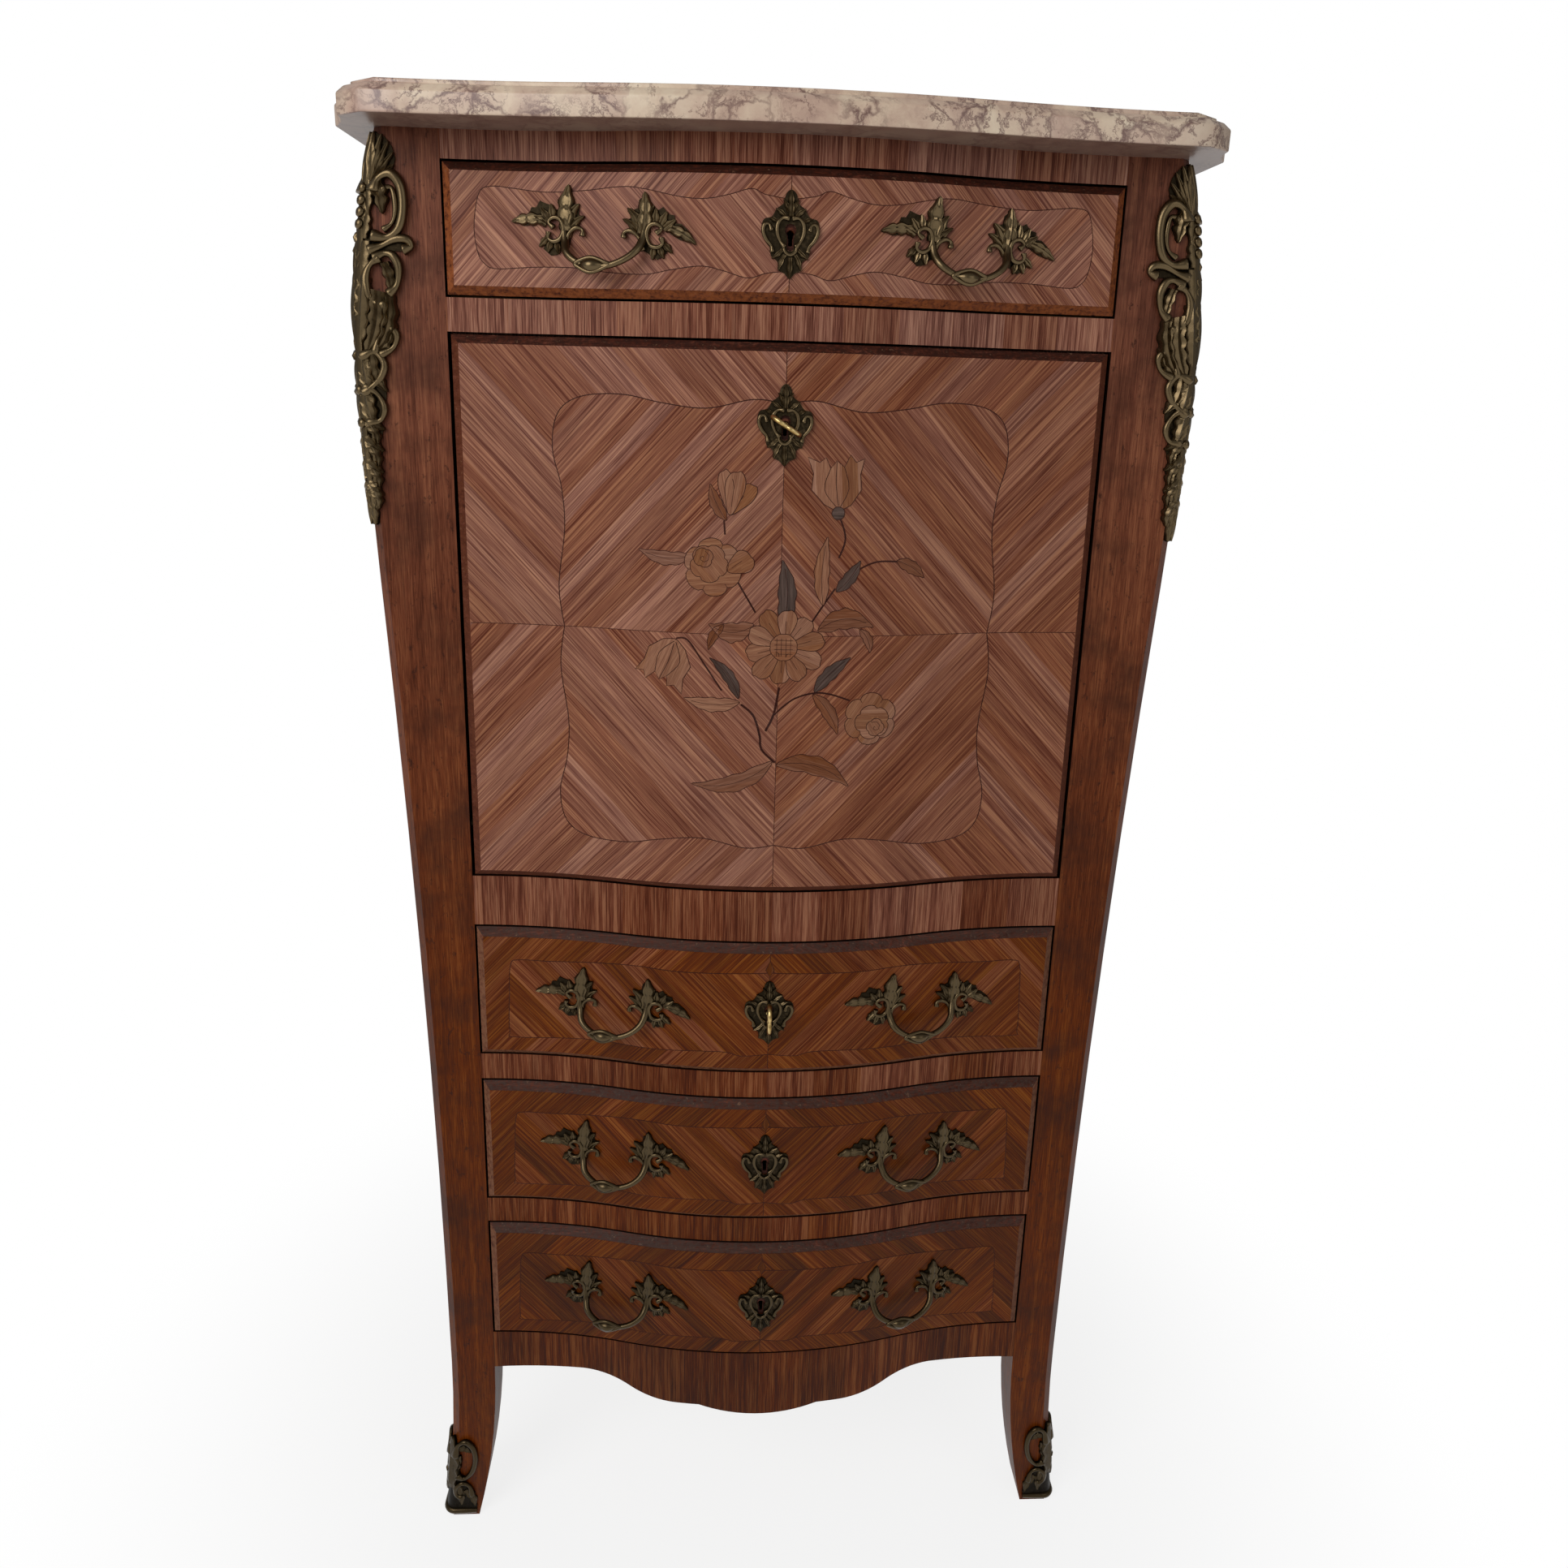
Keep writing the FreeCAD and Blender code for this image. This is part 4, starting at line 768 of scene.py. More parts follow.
# the colour is darker towards the floor
darker_towards_floor = add(bronze, "MapRange", [height, 0.1, 1.1, 0.42])
darkened_towards_floor = add(bronze, "HueSaturation", {"Color": colour, "Value": darker_towards_floor})
worn = add(bronze, "MapRange", [aged, 0.5, 1.2, 0.6, 0.32])
pits = add(bronze, "Bump", {"Height": grain, "Strength": 0.25, "Distance": 0.3 * MM})
wire(shader, {"Base Color": darkened_towards_floor, "Metallic": 1, "Roughness": worn, "Normal": pits})


class Casting(Piece):
    """A casting modelled in u across, v up and h off the surface that carries it."""

    def __init__(self, place=None):
        super().__init__()
        self.place = place

    def form(self, rows, rub, ring=False):
        points, faces = skin([[self.place(*point) for point in row] for row in rows], ring)
        self.take(points, faces, rub=[value for row in rub for value in row])

    def rod(self, path, radii, sides=8, ring=False, steps=5):
        """A rounded bar along a path of u, v, h. Its radius follows the radii, and it may close as a ring."""
        line = smooth(path, steps, ring)
        spread = smooth([(radius, 0) for radius in radii], steps, ring)
        turns = [2 * pi * j / sides for j in range(sides)]
        rows = []
        for k, point in enumerate(line):
            run = heading(line, k, ring)
            side = run.cross((0, 0, 1)).normalized() if abs(run.z) < 0.95 else Vector((1, 0, 0))
            rise = side.cross(run)
            rows.append([tuple(Vector(point) + (side * cos(turn) + rise * sin(turn)) * spread[k][0])
                         for turn in turns])
        self.form(rows, [[0.5 + 0.5 * sin(turn) for turn in turns]] * len(rows), ring)

    def scroll(self, path, thick, height=None):
        """A C-scroll: a bar that thickens in the middle and ends in a small ball at both ends."""
        height = thick * 0.8 if height is None else height
        count = len(path)
        radii = [thick * {0: 1.3, 1: 0.72}.get(min(k, count - 1 - k), 1.0) for k in range(count)]
        first, last = [tuple(a + (a - b) * 0.02 for a, b in zip(path[end], path[inner]))
                       for end, inner in ((0, 1), (-1, -2))]
        self.rod([(*p, height) for p in [first] + list(path) + [last]], [0.3] + radii + [0.3])

    def plaque(self, outline, thick, step=3):
        """The ground that joins a spray together: a thin plate with a chased surface."""
        flat, faces = sawn(outline, step, step)
        self.take([self.place(u, v, h) for h in (thick, -SUNK) for u, v in flat], faces,
                  rub=[0.2] * 2 * len(flat))

    def leaf(self, base, tip, width, lobes=3, bend=0.0, crown=1.8, lift=1.4, curl=0.8):
        """A chased leaf: ribbed along its middle, lobed at its edges, and lifted at its tip."""
        run = Vector((tip[0] - base[0], tip[1] - base[1]))
        across = Vector((-run.y, run.x)) / run.length
        count = 4 * lobes + 3
        columns = ((-1, 0.0), (-0.72, 0.8), (-0.4, 0.42), (0, 1.0), (0.4, 0.42), (0.72, 0.8), (1, 0.0))
        rows, rub = [], []
        for k in range(count):
            t = k / (count - 1)
            full = max(sin(pi * (0.14 + 0.86 * t) ** 0.85), 0) ** 0.6
            lobe = 0.66 + 0.34 * abs(cos(pi * lobes * t))
            half = width / 2 * max(full, 0.05) * lobe
            middle = Vector(base) + run * t + across * (bend * run.length * 4 * t * (1 - t))
            top = [(*(middle + across * half * s), lift + crown * ridge * max(full, 0.2) + curl * t * t)
                   for s, ridge in columns]
            low = [(*(middle + across * half * s), -SUNK) for s in (1, -1)]
            rows.append(top + low)
            rub.append([0.15 + 0.8 * ridge if ridge else 0.45 for _, ridge in columns] + [0.0, 0.0])
        self.form(rows, rub)

    def plate(self, outline, hole, thick):
        """A flat plate pierced by a hole: both outlines have the same number of points."""
        rows = [[(*out, thick), (*inn, thick), (*inn, -SUNK), (*out, -SUNK)]
                for out, inn in zip(outline, hole)]
        self.form(rows, [[0.3, 0.3, 0.0, 0.0]] * len(rows), True)


def on_front(middle_x, middle_z):
    """Carry a casting on the serpentine front, round the point where it is pinned."""
    def place(u, v, h):
        x = middle_x + u
        lean = (front_y(x + 1) - front_y(x - 1)) / 2
        out = Vector((lean, -1, 0)).normalized() * (h + RAISE)
        return x + out.x, front_y(x) + out.y, middle_z + v
    return place


LEFT_SPRAY = [(-73, 6), (-66, 11), (-61, 12), (-59, 17), (-55, 17), (-52, 22), (-47, 20), (-43, 19),
              (-40, 13), (-36, 14), (-35, 20), (-31, 25), (-28, 33), (-25, 25), (-26, 19), (-20, 18),
              (-21, 12), (-17, 10), (-23, 4), (-27, -3), (-29, -13), (-34, -14), (-38, -18), (-44, -19),
              (-50, -14), (-47, -9), (-40, -11), (-35, -6), (-33, 1), (-36, 9), (-42, 11), (-48, 6), (-56, 4),
              (-66, 3)]
RIGHT_SPRAY = [(71, -8), (67, 1), (61, 6), (56, 6), (56, 12), (51, 13), (47, 18), (42, 15), (39, 18),
               (36, 15), (37, 22), (33, 27), (28, 23), (27, 17), (21, 15), (22, 10), (17, 8), (24, 2),
               (28, -4), (30, -14), (36, -17), (42, -21), (48, -18), (52, -12), (48, -10), (42, -11),
               (36, -8), (34, -2), (36, 4), (41, 7), (47, 4), (53, -2), (60, -6)]
LEFT_CURL = [(-41, 2), (-45, 6), (-41, 9.5), (-35.5, 8), (-33, 1), (-35.5, -6), (-41, -8.5), (-45.5, -6),
             (-45, -1.5)]
RIGHT_CURL = [(42, -1.5), (46, 2), (42, 5.5), (36.5, 4), (34, -2.5), (36.5, -10), (42, -12), (46.5, -9.5),
              (46, -5)]


def cast_pull(casting):
    """One pull: the same pattern serves for both sides of every drawer."""
    def frill(middle, turns, reach, width):
        for turn in turns:
            run = Vector((cos(radians(turn)), sin(radians(turn))))
            casting.leaf(tuple(middle + run * 8), tuple(middle + run * reach), width, 2, 0.0, 1.8)

    # left spray, from the tip of its long leaf inwards
    casting.plaque(LEFT_SPRAY, 1.3)
    casting.leaf((-50, 8), (-75, 6), 11, 3, -0.05, 2.0)
    frill(Vector((-40, 0.5)), (150, 124, 98), 19.5, 8)
    frill(Vector((-40, 0.5)), (225, 250, 278), 18.5, 7)
    casting.scroll(LEFT_CURL, 1.9, 2.8)
    casting.leaf((-31, 0), (-28, 34), 16, 3, 0.04, 3.0, 1.8)
    casting.leaf((-32, 4), (-37, 23), 10, 2, -0.1, 2.2)
    casting.leaf((-30, 2), (-20, 20), 11, 2, 0.1, 2.4)
    casting.leaf((-30, -4), (-16, 11), 9, 2, 0.12, 2.0)
    casting.scroll([(-31, -12), (-29, -3), (-23, 2), (-17.5, 0.5), (-17.5, -4)], 2.0, 2.8)
    # right spray
    casting.plaque(RIGHT_SPRAY, 1.3)
    casting.leaf((51, 3), (73, -9), 10, 3, 0.06, 2.0)
    frill(Vector((41, -3)), (88, 62, 36), 20, 8)
    frill(Vector((41, -3)), (262, 290, 316), 18.5, 7)
    casting.scroll(RIGHT_CURL, 1.9, 2.8)
    casting.leaf((31, -2), (33, 29), 15, 3, -0.04, 3.0, 1.8)
    casting.leaf((30, -1), (19, 17), 11, 2, -0.1, 2.4)
    casting.leaf((30, -6), (15, 9), 9, 2, -0.12, 2.0)
    casting.leaf((32, 2), (40, 19), 10, 2, 0.1, 2.2)
    casting.scroll([(31, -14), (28, -5), (22, 0), (16.5, -1), (16, -5)], 2.0, 2.8)
    # bail: springs from both sprays, stands off for the fingers, with an oval boss at its middle
    casting.rod([(-33, 3, 1.5), (-31.5, -9, 4), (-28, -18, 11), (-18, -25, 15), (-6, -28, 16), (8, -27, 16),
                 (20, -22, 14), (28, -15, 10), (31, -7, 4), (32, 3, 1.5)],
                [2.0, 3.3, 3.2, 2.7, 2.6, 2.6, 2.7, 3.1, 3.3, 2.0])
    casting.rod([(-19, -25.5, 17), (-6.5, -21.5, 18), (5, -24.8, 17.6), (8, -27, 17), (-6, -32.5, 18),
                 (-17, -28.5, 17)], [1.7] * 6, ring=True)
    casting.rod([(-16, -26.5, 16.5), (-11, -27, 17.2), (-6, -27.5, 17.4), (-1, -27.2, 17.2),
                 (5, -26.6, 16.5)], [0.8, 4.2, 5.4, 4.2, 0.8])


def half_plate(points):
    """An outline drawn for its right half, from the top to the foot, and mirrored to the left."""
    return smooth(points + mirrored(points[1:-1]), 4, True)


def cast_escutcheon(casting):
    """A keyhole plate: a leafy crest, a double C-scroll round the keyhole, ears and a leafy foot."""
    outline = half_plate([(0, 33), (4, 30), (6, 23), (11, 19), (15, 13), (21, 11), (23, 4), (20, -5),
                          (16, -10), (15, -16), (10, -20), (9, -26), (4, -29), (0, -33)])
    hole = half_plate([(0, 8), (1.6, 7.8), (3, 7), (4.2, 5), (4.4, 3), (4.2, 1.5), (3.4, 0), (2.9, -2),
                       (2.8, -5), (2.8, -8), (2.7, -10.5), (2, -11.5), (1, -12), (0, -12)])
    casting.plate(outline, hole, 1.2)
    inner = [(1.5, 12), (6.5, 12), (10, 8), (10.5, 1.5), (8, -5), (4.5, -9)]
    ear = [(15, 3), (17, 7.5), (20.5, 7), (21.5, 2), (19, -4), (15, -8.5), (14, -13)]
    leaves = (((4, 13), (12, 19), 5, 0.05, 1.3), ((10, 9), (17, 12), 4.5, 0.05, 1.3),
              ((6, -11), (14.5, -18), 5, -0.05, 1.3), ((4, -15), (9, -27), 5, 0.05, 1.3),
              ((2, 17), (6, 26), 4.5, 0.05, 1.4))
    for side in (-1, 1):
        casting.scroll([(side * u, v) for u, v in inner], 1.8, 2.2)
        casting.scroll([(side * u, v) for u, v in ear], 1.6, 2.1)
        for base, tip, width, bend, crown in leaves:
            base, tip = [(side * u, v) for u, v in (base, tip)]
            casting.leaf(base, tip, width, 2, bend * side, crown, 1.4)
    casting.leaf((0, 13), (0, 33), 7, 3, 0, 2.0, 1.6)
    casting.leaf((0, -17), (0, -33), 6, 2, 0, 1.8, 1.6)
    casting.rod([(-5, -7, 2), (-4.5, -12, 2.2), (0, -15, 2.4), (4.5, -12, 2.2), (5, -7, 2)],
                [0.8, 1.3, 1.5, 1.3, 0.8])


for drawer in ("upper_drawer", "first_drawer", "second_drawer", "third_drawer"):
    bronzes = Casting()
    for side in (-1, 1):
        bronzes.place = on_front(side * PULL_REACH, key_rise[drawer])
        cast_pull(bronzes)
    bronzes.place = on_front(0, key_rise[drawer])
    cast_escutcheon(bronzes)
    bronzes.finish(drawer + "_castings", drawer, "antique_bronze", [bronze], [drawer + "_bronzes"], CREASE)

# Flap escutcheon: the same casting as on the drawers, pinned near the flap's upper edge.
# Its keyhole takes the key that locks the flap to the upper rail.
flap_plate = Casting(on_front(0, key_rise["flap"]))
cast_escutcheon(flap_plate)
flap_plate.finish("flap_keyhole_plate", "flap", "antique_bronze", [bronze], ["flap_escutcheon"], CREASE)

# Corner mounts: two tall castings wrapped round the shoulders of the front posts and pinned at top and foot.
# A shell, a pierced C-scroll, acanthus and a tail of small leaves, the same on both faces of the corner.
POST_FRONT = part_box("left_front_post")[0].y / MM
ROUND = 9  # radius of the bend over the arris
CLEAR, BEHIND = 600, 12  # where a ray that finds the post starts: far outside, a little behind the front
post_skin = {}
for side, name in ((-1, "left_front_post"), (1, "right_front_post")):
    wood = nodes[name].data
    post_skin[side] = BVHTree.FromPolygons([v.co for v in wood.vertices], [p.vertices for p in wood.polygons])


def corner_x(side, z):
    """How far out the post's corner stands at a height, found on the post itself."""
    outside = Vector((side * CLEAR, POST_FRONT + BEHIND, z)) * MM
    return abs(post_skin[side].ray_cast(outside, Vector((-side, 0, 0)))[0].x) / MM


def round_corner(side):
    """Carry a casting round the corner: u is 0 on the arris, positive on the front, negative on the flank."""
    bend = ROUND * pi / 4

    def place(u, v, h):
        x = corner_x(side, v) - ROUND
        turn = pi / 4 + max(-1, min(1, u / bend)) * pi / 4
        spare = max(0, abs(u) - bend)
        away = x + (ROUND + h) * cos(turn) - (spare if u > 0 else 0)
        depth = POST_FRONT + ROUND - (ROUND + h) * sin(turn) + (spare if u < 0 else 0)
        return side * away, depth, v
    return place


SHELL_GROUND = [(0, 1370), (14, 1370), (20, 1377), (21, 1386), (17, 1395), (10, 1402), (3, 1405), (0, 1404)]
LEAF_GROUND = [(0, 1330), (14, 1325), (26, 1330), (37, 1328), (41, 1321), (33, 1317), (18, 1317), (8, 1306),
               (6, 1292), (12, 1279), (24, 1276), (24, 1262), (31, 1256), (29, 1244), (20, 1237), (22, 1227),
               (18, 1216), (20, 1204), (18, 1192), (13, 1184), (16, 1176), (12, 1166), (14, 1158), (10, 1147),
               (12, 1140), (8, 1128), (9, 1119), (6, 1108), (4, 1096), (0, 1095)]


def cast_corner_mount(casting, face):
    """The half of the mount that lies on one face of the corner."""
    def at(*path):
        return [(face * u, v) for u, v in path]

    def leaf(base, tip, width, lobes=3, bend=0.0, crown=2.6, lift=1.8):
        casting.leaf(*at(base, tip), width, lobes, bend * face, crown, lift)

    casting.plaque(at(*SHELL_GROUND)[::face], 1.6)
    casting.plaque(at(*LEAF_GROUND)[::-face], 1.6)
    # shell at the head
    for tip in ((2, 1406), (8, 1404), (14, 1399), (19, 1391), (21, 1382)):
        leaf((5, 1368), tip, 9, 2)
    # pierced C-scroll with a second, thinner line inside it
    casting.scroll(at((8, 1362), (10, 1371), (19, 1375), (28, 1366), (32, 1350), (30, 1334), (21, 1327),
                      (10, 1328)), 4.0)
    casting.scroll(at((14, 1363), (20, 1365), (24, 1358), (26, 1347), (24, 1338), (18, 1333)), 2.4)
    leaf((8, 1370), (16, 1345), 15, 3, 0.06, 4.0)
    leaf((3, 1370), (5, 1345), 10, 3)
    leaf((3, 1326), (5, 1348), 10, 3)
    # volute inwards
    casting.scroll(at((8, 1317), (18, 1321), (28, 1326), (37, 1326), (41, 1321), (35, 1318)), 3.6)
    # second C-scroll round an oval
    casting.scroll(at((12, 1311), (20, 1315), (27, 1313), (32, 1304), (31, 1291), (25, 1284)), 3.6)
    casting.scroll(at((16, 1311), (9, 1306), (6, 1296), (8, 1284), (13, 1277), (21, 1275)), 3.4)
    leaf((20, 1308), (27, 1283), 12, 3, 0.08, 3.4)
    leaf((4, 1324), (3, 1288), 15, 4, 0.0, 4.0)
    # acanthus over the shoulder
    leaf((16, 1286), (5, 1234), 22, 5, 0.1, 6.0)
    leaf((5, 1296), (2, 1240), 15, 5, 0.02, 5.0)
    leaf((25, 1284), (12, 1236), 15, 4, 0.12, 4.6, 2.6)
    leaf((23, 1276), (22, 1240), 13, 4, 0.1, 3.6)
    casting.scroll(at((13, 1238), (17, 1250), (25, 1257), (31, 1252), (28, 1242), (18, 1236)), 3.0)
    leaf((16, 1238), (27, 1256), 13, 3, -0.08, 3.4)
    # lower C-scroll and the leaves of the tail
    casting.scroll(at((3, 1234), (12, 1238), (20, 1229), (17, 1218), (10, 1211), (3, 1205)), 3.4)
    leaf((10, 1238), (21, 1206), 16, 4, -0.12, 4.0)
    leaf((4, 1232), (8, 1200), 14, 4, 0.0, 4.0)
    casting.scroll(at((4, 1210), (13, 1204), (18, 1193), (14, 1183), (5, 1181)), 3.0)
    leaf((4, 1208), (9, 1172), 15, 4, 0.0, 4.0)
    for head, foot, reach in ((1186, 1163, 17), (1169, 1144, 15), (1150, 1127, 13), (1132, 1110, 10)):
        leaf((2, head), (reach, (head + foot) / 2 + 1), 12, 3, -0.12, 3.4)
        leaf((4, head - 4), (reach * 0.6, foot - 2), 11, 3, 0.1, 3.4)
    leaf((2, 1124), (3, 1095), 9, 3)


for side, name in ((-1, "left"), (1, "right")):
    mount = Casting(round_corner(side))
    for face in (1, -1):
        cast_corner_mount(mount, face)
    mount.rod([(0, v, 0.4) for v in (1404, 1368, 1330, 1290, 1240, 1180, 1140, 1096)],
              [3.0, 4.2, 4.4, 5.2, 5.4, 4.4, 3.6, 1.6], steps=6)
    for v in (1364, 1355, 1346, 1337, 1207, 1180):
        bead = [(0, v + 4, 3), (0, v + 2, 4.4), (0, v - 2, 4.4), (0, v - 4, 3)]
        mount.rod(bead, [0.6, 2.6, 2.6, 0.6], steps=3)
    mount.finish(name + "_shoulder_bronze", "case", "antique_bronze", [bronze], [name + "_corner_mount"],
                 CREASE)

# Sabots: bronze shoes on the front feet, cast as a leaf that climbs the corner between two C-scrolls.
# They are slipped over the toe and pinned from both faces.
for side, name in ((-1, "left"), (1, "right")):
    shoe = Casting(round_corner(side))
    shoe.leaf((0, 40), (0, 108), 20, 4, 0, 3.4, 2.0)
    for face in (1, -1):
        ground = [(0, 4), (30, 4), (31, 14), (24, 26), (17, 40), (16, 54), (6, 58), (7, 88), (0, 100)]
        shoe.plaque([(face * u, v) for u, v in ground][::face], 1.6)
        upper = [(4, 84), (6, 98), (14, 103), (22, 94), (25, 78), (22, 62), (14, 53), (7, 57)]
        shoe.scroll([(face * u, v) for u, v in upper], 3.0)
        shoe.leaf((face * 5, 94), (face * 20, 88), 10, 3, 0.15 * face)
        shoe.leaf((face * 2, 56), (face * 9, 84), 11, 4, 0.0)
        lower = [(24, 30), (20, 42), (12, 46), (6, 40), (7, 30), (13, 27)]
        shoe.scroll([(face * u, v) for u, v in lower], 2.6)
        shoe.leaf((face * 3, 44), (face * 14, 16), 12, 4, 0.1 * face)
        shoe.leaf((face * 16, 36), (face * 29, 14), 10, 3, 0.1 * face)
        shoe.rod([(face * u, 7, 0.8) for u in (0, 10, 20, 31)], [3.4, 3.4, 3.2, 2.6])
    shoe.finish(name + "_foot_bronze", "case", "antique_bronze", [bronze], [name + "_sabot"], CREASE)

# Keys: one stands in the flap and one in the first drawer. Each is cast with a ring bow, turned and filed,
# and reaches through the keyhole plate to its bolt.
# Handled brass: bright and yellow on the ridges, brown in the corners that fingers do not reach
brass, shader, place = new_material("handled_brass")
rub = add(brass, "Attribute", attribute_name="rub").outputs["Fac"]
tarnish = add(brass, "TexNoise", {"Vector": place, "Scale": 1 / (3 * MM), "Detail": 4})
clean = add(brass, "Math", [tarnish, 0.7, rub], operation="MULTIPLY_ADD")
colour = add(brass, "ValToRGB", [clean], [(0.35, "#5d4626"), (0.7, "#a08350"), (1, "#cdb37c")])
file_marks = add(brass, "Bump", {"Height": tarnish, "Strength": 0.2, "Distance": 0.2 * MM})
wire(shader, {"Base Color": colour, "Metallic": 1, "Roughness": 0.3, "Normal": file_marks})


def in_keyhole(tilt, rise):
    """Carry a key in its keyhole: u across its bow, v out from the front, h through the bow's thickness."""
    def place(u, v, h):
        return u * cos(tilt) - h * sin(tilt), front_y(0) - v, rise + u * sin(tilt) + h * cos(tilt)
    return place


BOW_LENGTH = 18.4
for name, body, tilt in (("flap_key", "flap", radians(-32)),
                         ("first_drawer_key", "first_drawer", radians(90))):
    heel = front_y(0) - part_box(name)[0].y / MM - BOW_LENGTH
    key = Casting(in_keyhole(tilt, key_rise[body]))
    half_bow = [(6, -0.2), (10.5, 2.5), (12.6, 8), (10.5, 13.5), (5, 16)]
    bow = [(0, 1.6)] + half_bow + [(0, 15)] + mirrored(half_bow)
    key.rod([(u, heel + v, 0) for u, v in bow], [2.2, 2, 2.2, 2.4, 2.2, 2.2, 2, 2.2, 2.2, 2.4, 2.2, 2],
            ring=True)
    key.rod([(0, v, 0) for v in (-8, 0, heel - 5, heel - 4, heel - 2, heel - 1, heel + 1.5)],
            [1.9, 1.9, 1.9, 3.0, 3.0, 1.9, 1.8], sides=10, steps=2)
    key.finish(name + "_brass", name, "brass", [brass], [name], crease=50)

# Locks, bolts and hinge pins: iron boxes let into the edges of the fronts, with steel bolts that rise into
# the rails. They are forged and filed, and the pins on which the flap turns are bronze gone brown.
# Filed steel: grey with fine parallel marks and brown bloom
steel, shader, place = new_material("filed_steel")
strokes = add(steel, "Mapping", {"Vector": place, "Scale": lengthwise(0.5, 16)})
marks = add(steel, "TexNoise", {"Vector": strokes, "Scale": 1, "Detail": 2})
rust = add(steel, "TexNoise", {"Vector": place, "Scale": 1 / (9 * MM), "Detail": 5})
colour = add(steel, "ValToRGB", [rust], [(0.4, "#6f6c68"), (0.55, "#5d5650"), (0.7, "#55402f")])
scores = add(steel, "Bump", {"Height": marks, "Strength": 0.2, "Distance": 0.1 * MM})
dull = add(steel, "MapRange", [marks, 0, 1, 0.35, 0.6])
wire(shader, {"Base Color": colour, "Metallic": 1, "Roughness": dull, "Normal": scores})
dress(steel, [name for name in nodes if name.endswith(("_lock", "_bolt"))])
dress(bronze, ["flap_pivots"])

# Writing leather: a green morocco skin, glued into a shallow bed on the inside of the flap.
# A broad and two fine lines are tooled in gold round its edge.
GOLD_LINES = ((12, 1.4), (16, 0.8), (26, 0.8))  # how far in, and how wide
skin_low, skin_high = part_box("flap_leather")
middle, half = (skin_low + skin_high) / 2, (skin_high - skin_low) / 2
# Morocco: dark green, pebbled, browned and dulled where arms have rested
morocco, shader, place = new_material("green_morocco")
pebble = add(morocco, "TexVoronoi", {"Vector": place, "Scale": 1 / (1.6 * MM)})
wear = add(morocco, "TexNoise", {"Vector": place, "Scale": 1 / (60 * MM), "Detail": 6})
hide = add(morocco, "ValToRGB", [wear], [(0.35, "#26331b"), (0.55, "#36431f"), (0.72, "#4c4626")])
pores = add(morocco, "Bump", {"Height": pebble.outputs["Distance"], "Strength": 0.3, "Distance": 0.3 * MM})
sheen = add(morocco, "MapRange", [wear, 0, 1, 0.7, 0.45])
wire(shader, {"Base Color": hide, "Roughness": sheen, "Normal": pores})
rubbed = add(morocco, "MapRange", [wear, 0.35, 0.65, 0.9, 0.35])
from_middle = add(morocco, "VectorMath", [place, middle], operation="SUBTRACT")
folded = add(morocco, "VectorMath", [from_middle], operation="ABSOLUTE")
inset = add(morocco, "VectorMath", [(half.x, 1, half.z), folded], operation="SUBTRACT")
from_side, _, from_end = add(morocco, "SeparateXYZ", [inset]).outputs
edge = add(morocco, "Math", [from_side, from_end], operation="MINIMUM")
for inward, wide in GOLD_LINES:
    gold = add(morocco, "Math", [edge, inward * MM, wide / 2 * MM], operation="COMPARE")
    overlay(morocco, "#b08f48", add(morocco, "Math", [gold, rubbed], operation="MULTIPLY"))
dress(morocco, ["flap_leather"])

# Studio: a white floor that keeps the cabinet's soft shadow, a large key light from the upper left front, a
# weaker fill from the right, and the camera where the photograph was taken.
FLOOR = 8  # half its width, in metres
floor_mesh = bpy.data.meshes.new("studio_floor")
floor_mesh.from_pydata([(x * FLOOR, y * FLOOR, 0) for x, y in ((-1, -1), (1, -1), (1, 1), (-1, 1))], [],
                       [(0, 1, 2, 3)])
floor = bpy.data.objects.new("studio_floor", floor_mesh)
bpy.context.collection.objects.link(floor)
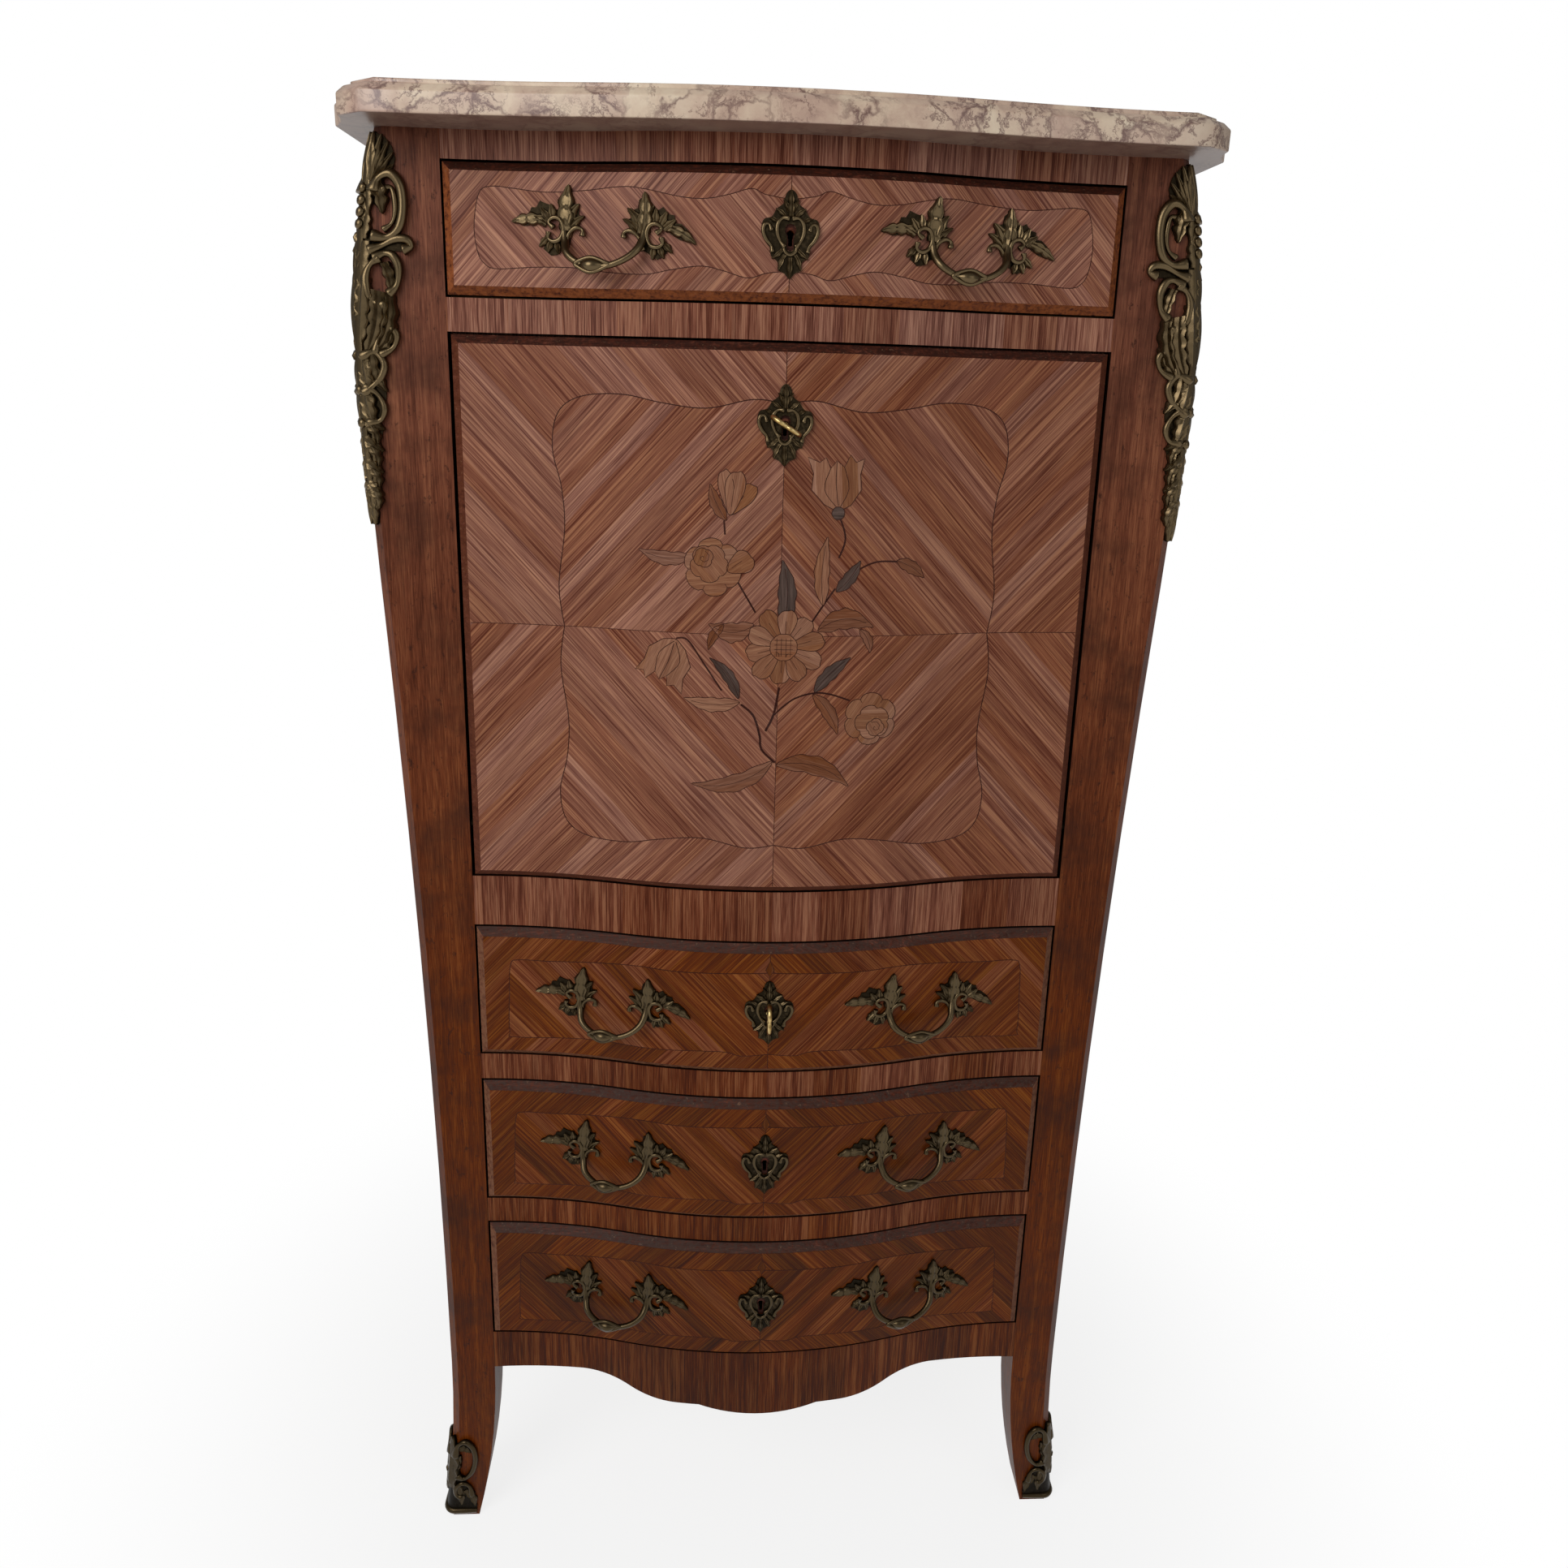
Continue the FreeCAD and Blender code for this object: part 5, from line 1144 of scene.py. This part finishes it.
# White paper: matt; near the cabinet it takes the shadow, further off it runs out into the white background
paper, shader, place = new_material("white_paper")
wire(shader, {"Base Color": linear("#efeeec"), "Roughness": 0.9})
away = add(paper, "VectorMath", [place], operation="LENGTH").outputs["Value"]
fade = add(paper, "MapRange", [away, 0.3, 0.9, 0.82], interpolation_type="SMOOTHSTEP")
seen = add(paper, "LightPath").outputs
looked = add(paper, "Math", [seen["Is Camera Ray"], seen["Is Glossy Ray"]], operation="MAXIMUM")
share = add(paper, "Math", [fade, looked], operation="MULTIPLY")
sheet = add(paper, "MixShader", [share, shader, add(paper, "Emission", {"Strength": 1.0})])
wire(paper.node_tree.nodes["Material Output"], {"Surface": sheet})
floor_mesh.materials.append(paper)

world = bpy.data.worlds.new("studio")
bpy.context.scene.world = world
world.use_nodes = True
seen = add(world, "LightPath").outputs
looked = add(world, "Math", [seen["Is Camera Ray"], seen["Is Transmission Ray"]], operation="MAXIMUM")
strength = add(world, "MapRange", [looked, 0, 1, 0.3, 1.0])
wire(world.node_tree.nodes["Background"], {"Color": (1, 1, 1, 1), "Strength": strength})


def softbox(name, place, target, size, watts):
    lamp = bpy.data.lights.new(name, "AREA")
    lamp.energy, lamp.size = watts, size
    box = bpy.data.objects.new(name, lamp)
    box.location = place
    box.rotation_euler = (Vector(target) - Vector(place)).to_track_quat("-Z", "Y").to_euler()
    bpy.context.collection.objects.link(box)


softbox("key_light", (-1.6, -1.9, 2.2), (0, 0, 1.0), 1.6, 42)
softbox("fill_light", (1.8, -2.4, 2.0), (0, 0, 1.0), 1.8, 10)

# the photograph's camera: where it stood, how it was turned, tipped down and rolled, and its lens
EYE_POINT, TURN, TIP, ROLL = (-0.05193, -1.13173, 1.22438), radians(-3.388), radians(-15.125), radians(-1.67)
lens = bpy.data.cameras.new("photo_camera")
lens.sensor_width, lens.lens, lens.shift_y = 36, 26.447, -0.0585
camera = bpy.data.objects.new("photo_camera", lens)
camera.matrix_world = (Matrix.Translation(EYE_POINT) @ Matrix.Rotation(TURN, 4, "Z")
                       @ Matrix.Rotation(TIP, 4, "X") @ Matrix.Rotation(ROLL, 4, "Y")
                       @ Matrix.Rotation(pi / 2, 4, "X"))
bpy.context.collection.objects.link(camera)
bpy.context.scene.camera = camera
bpy.context.scene.view_settings.view_transform = "Standard"
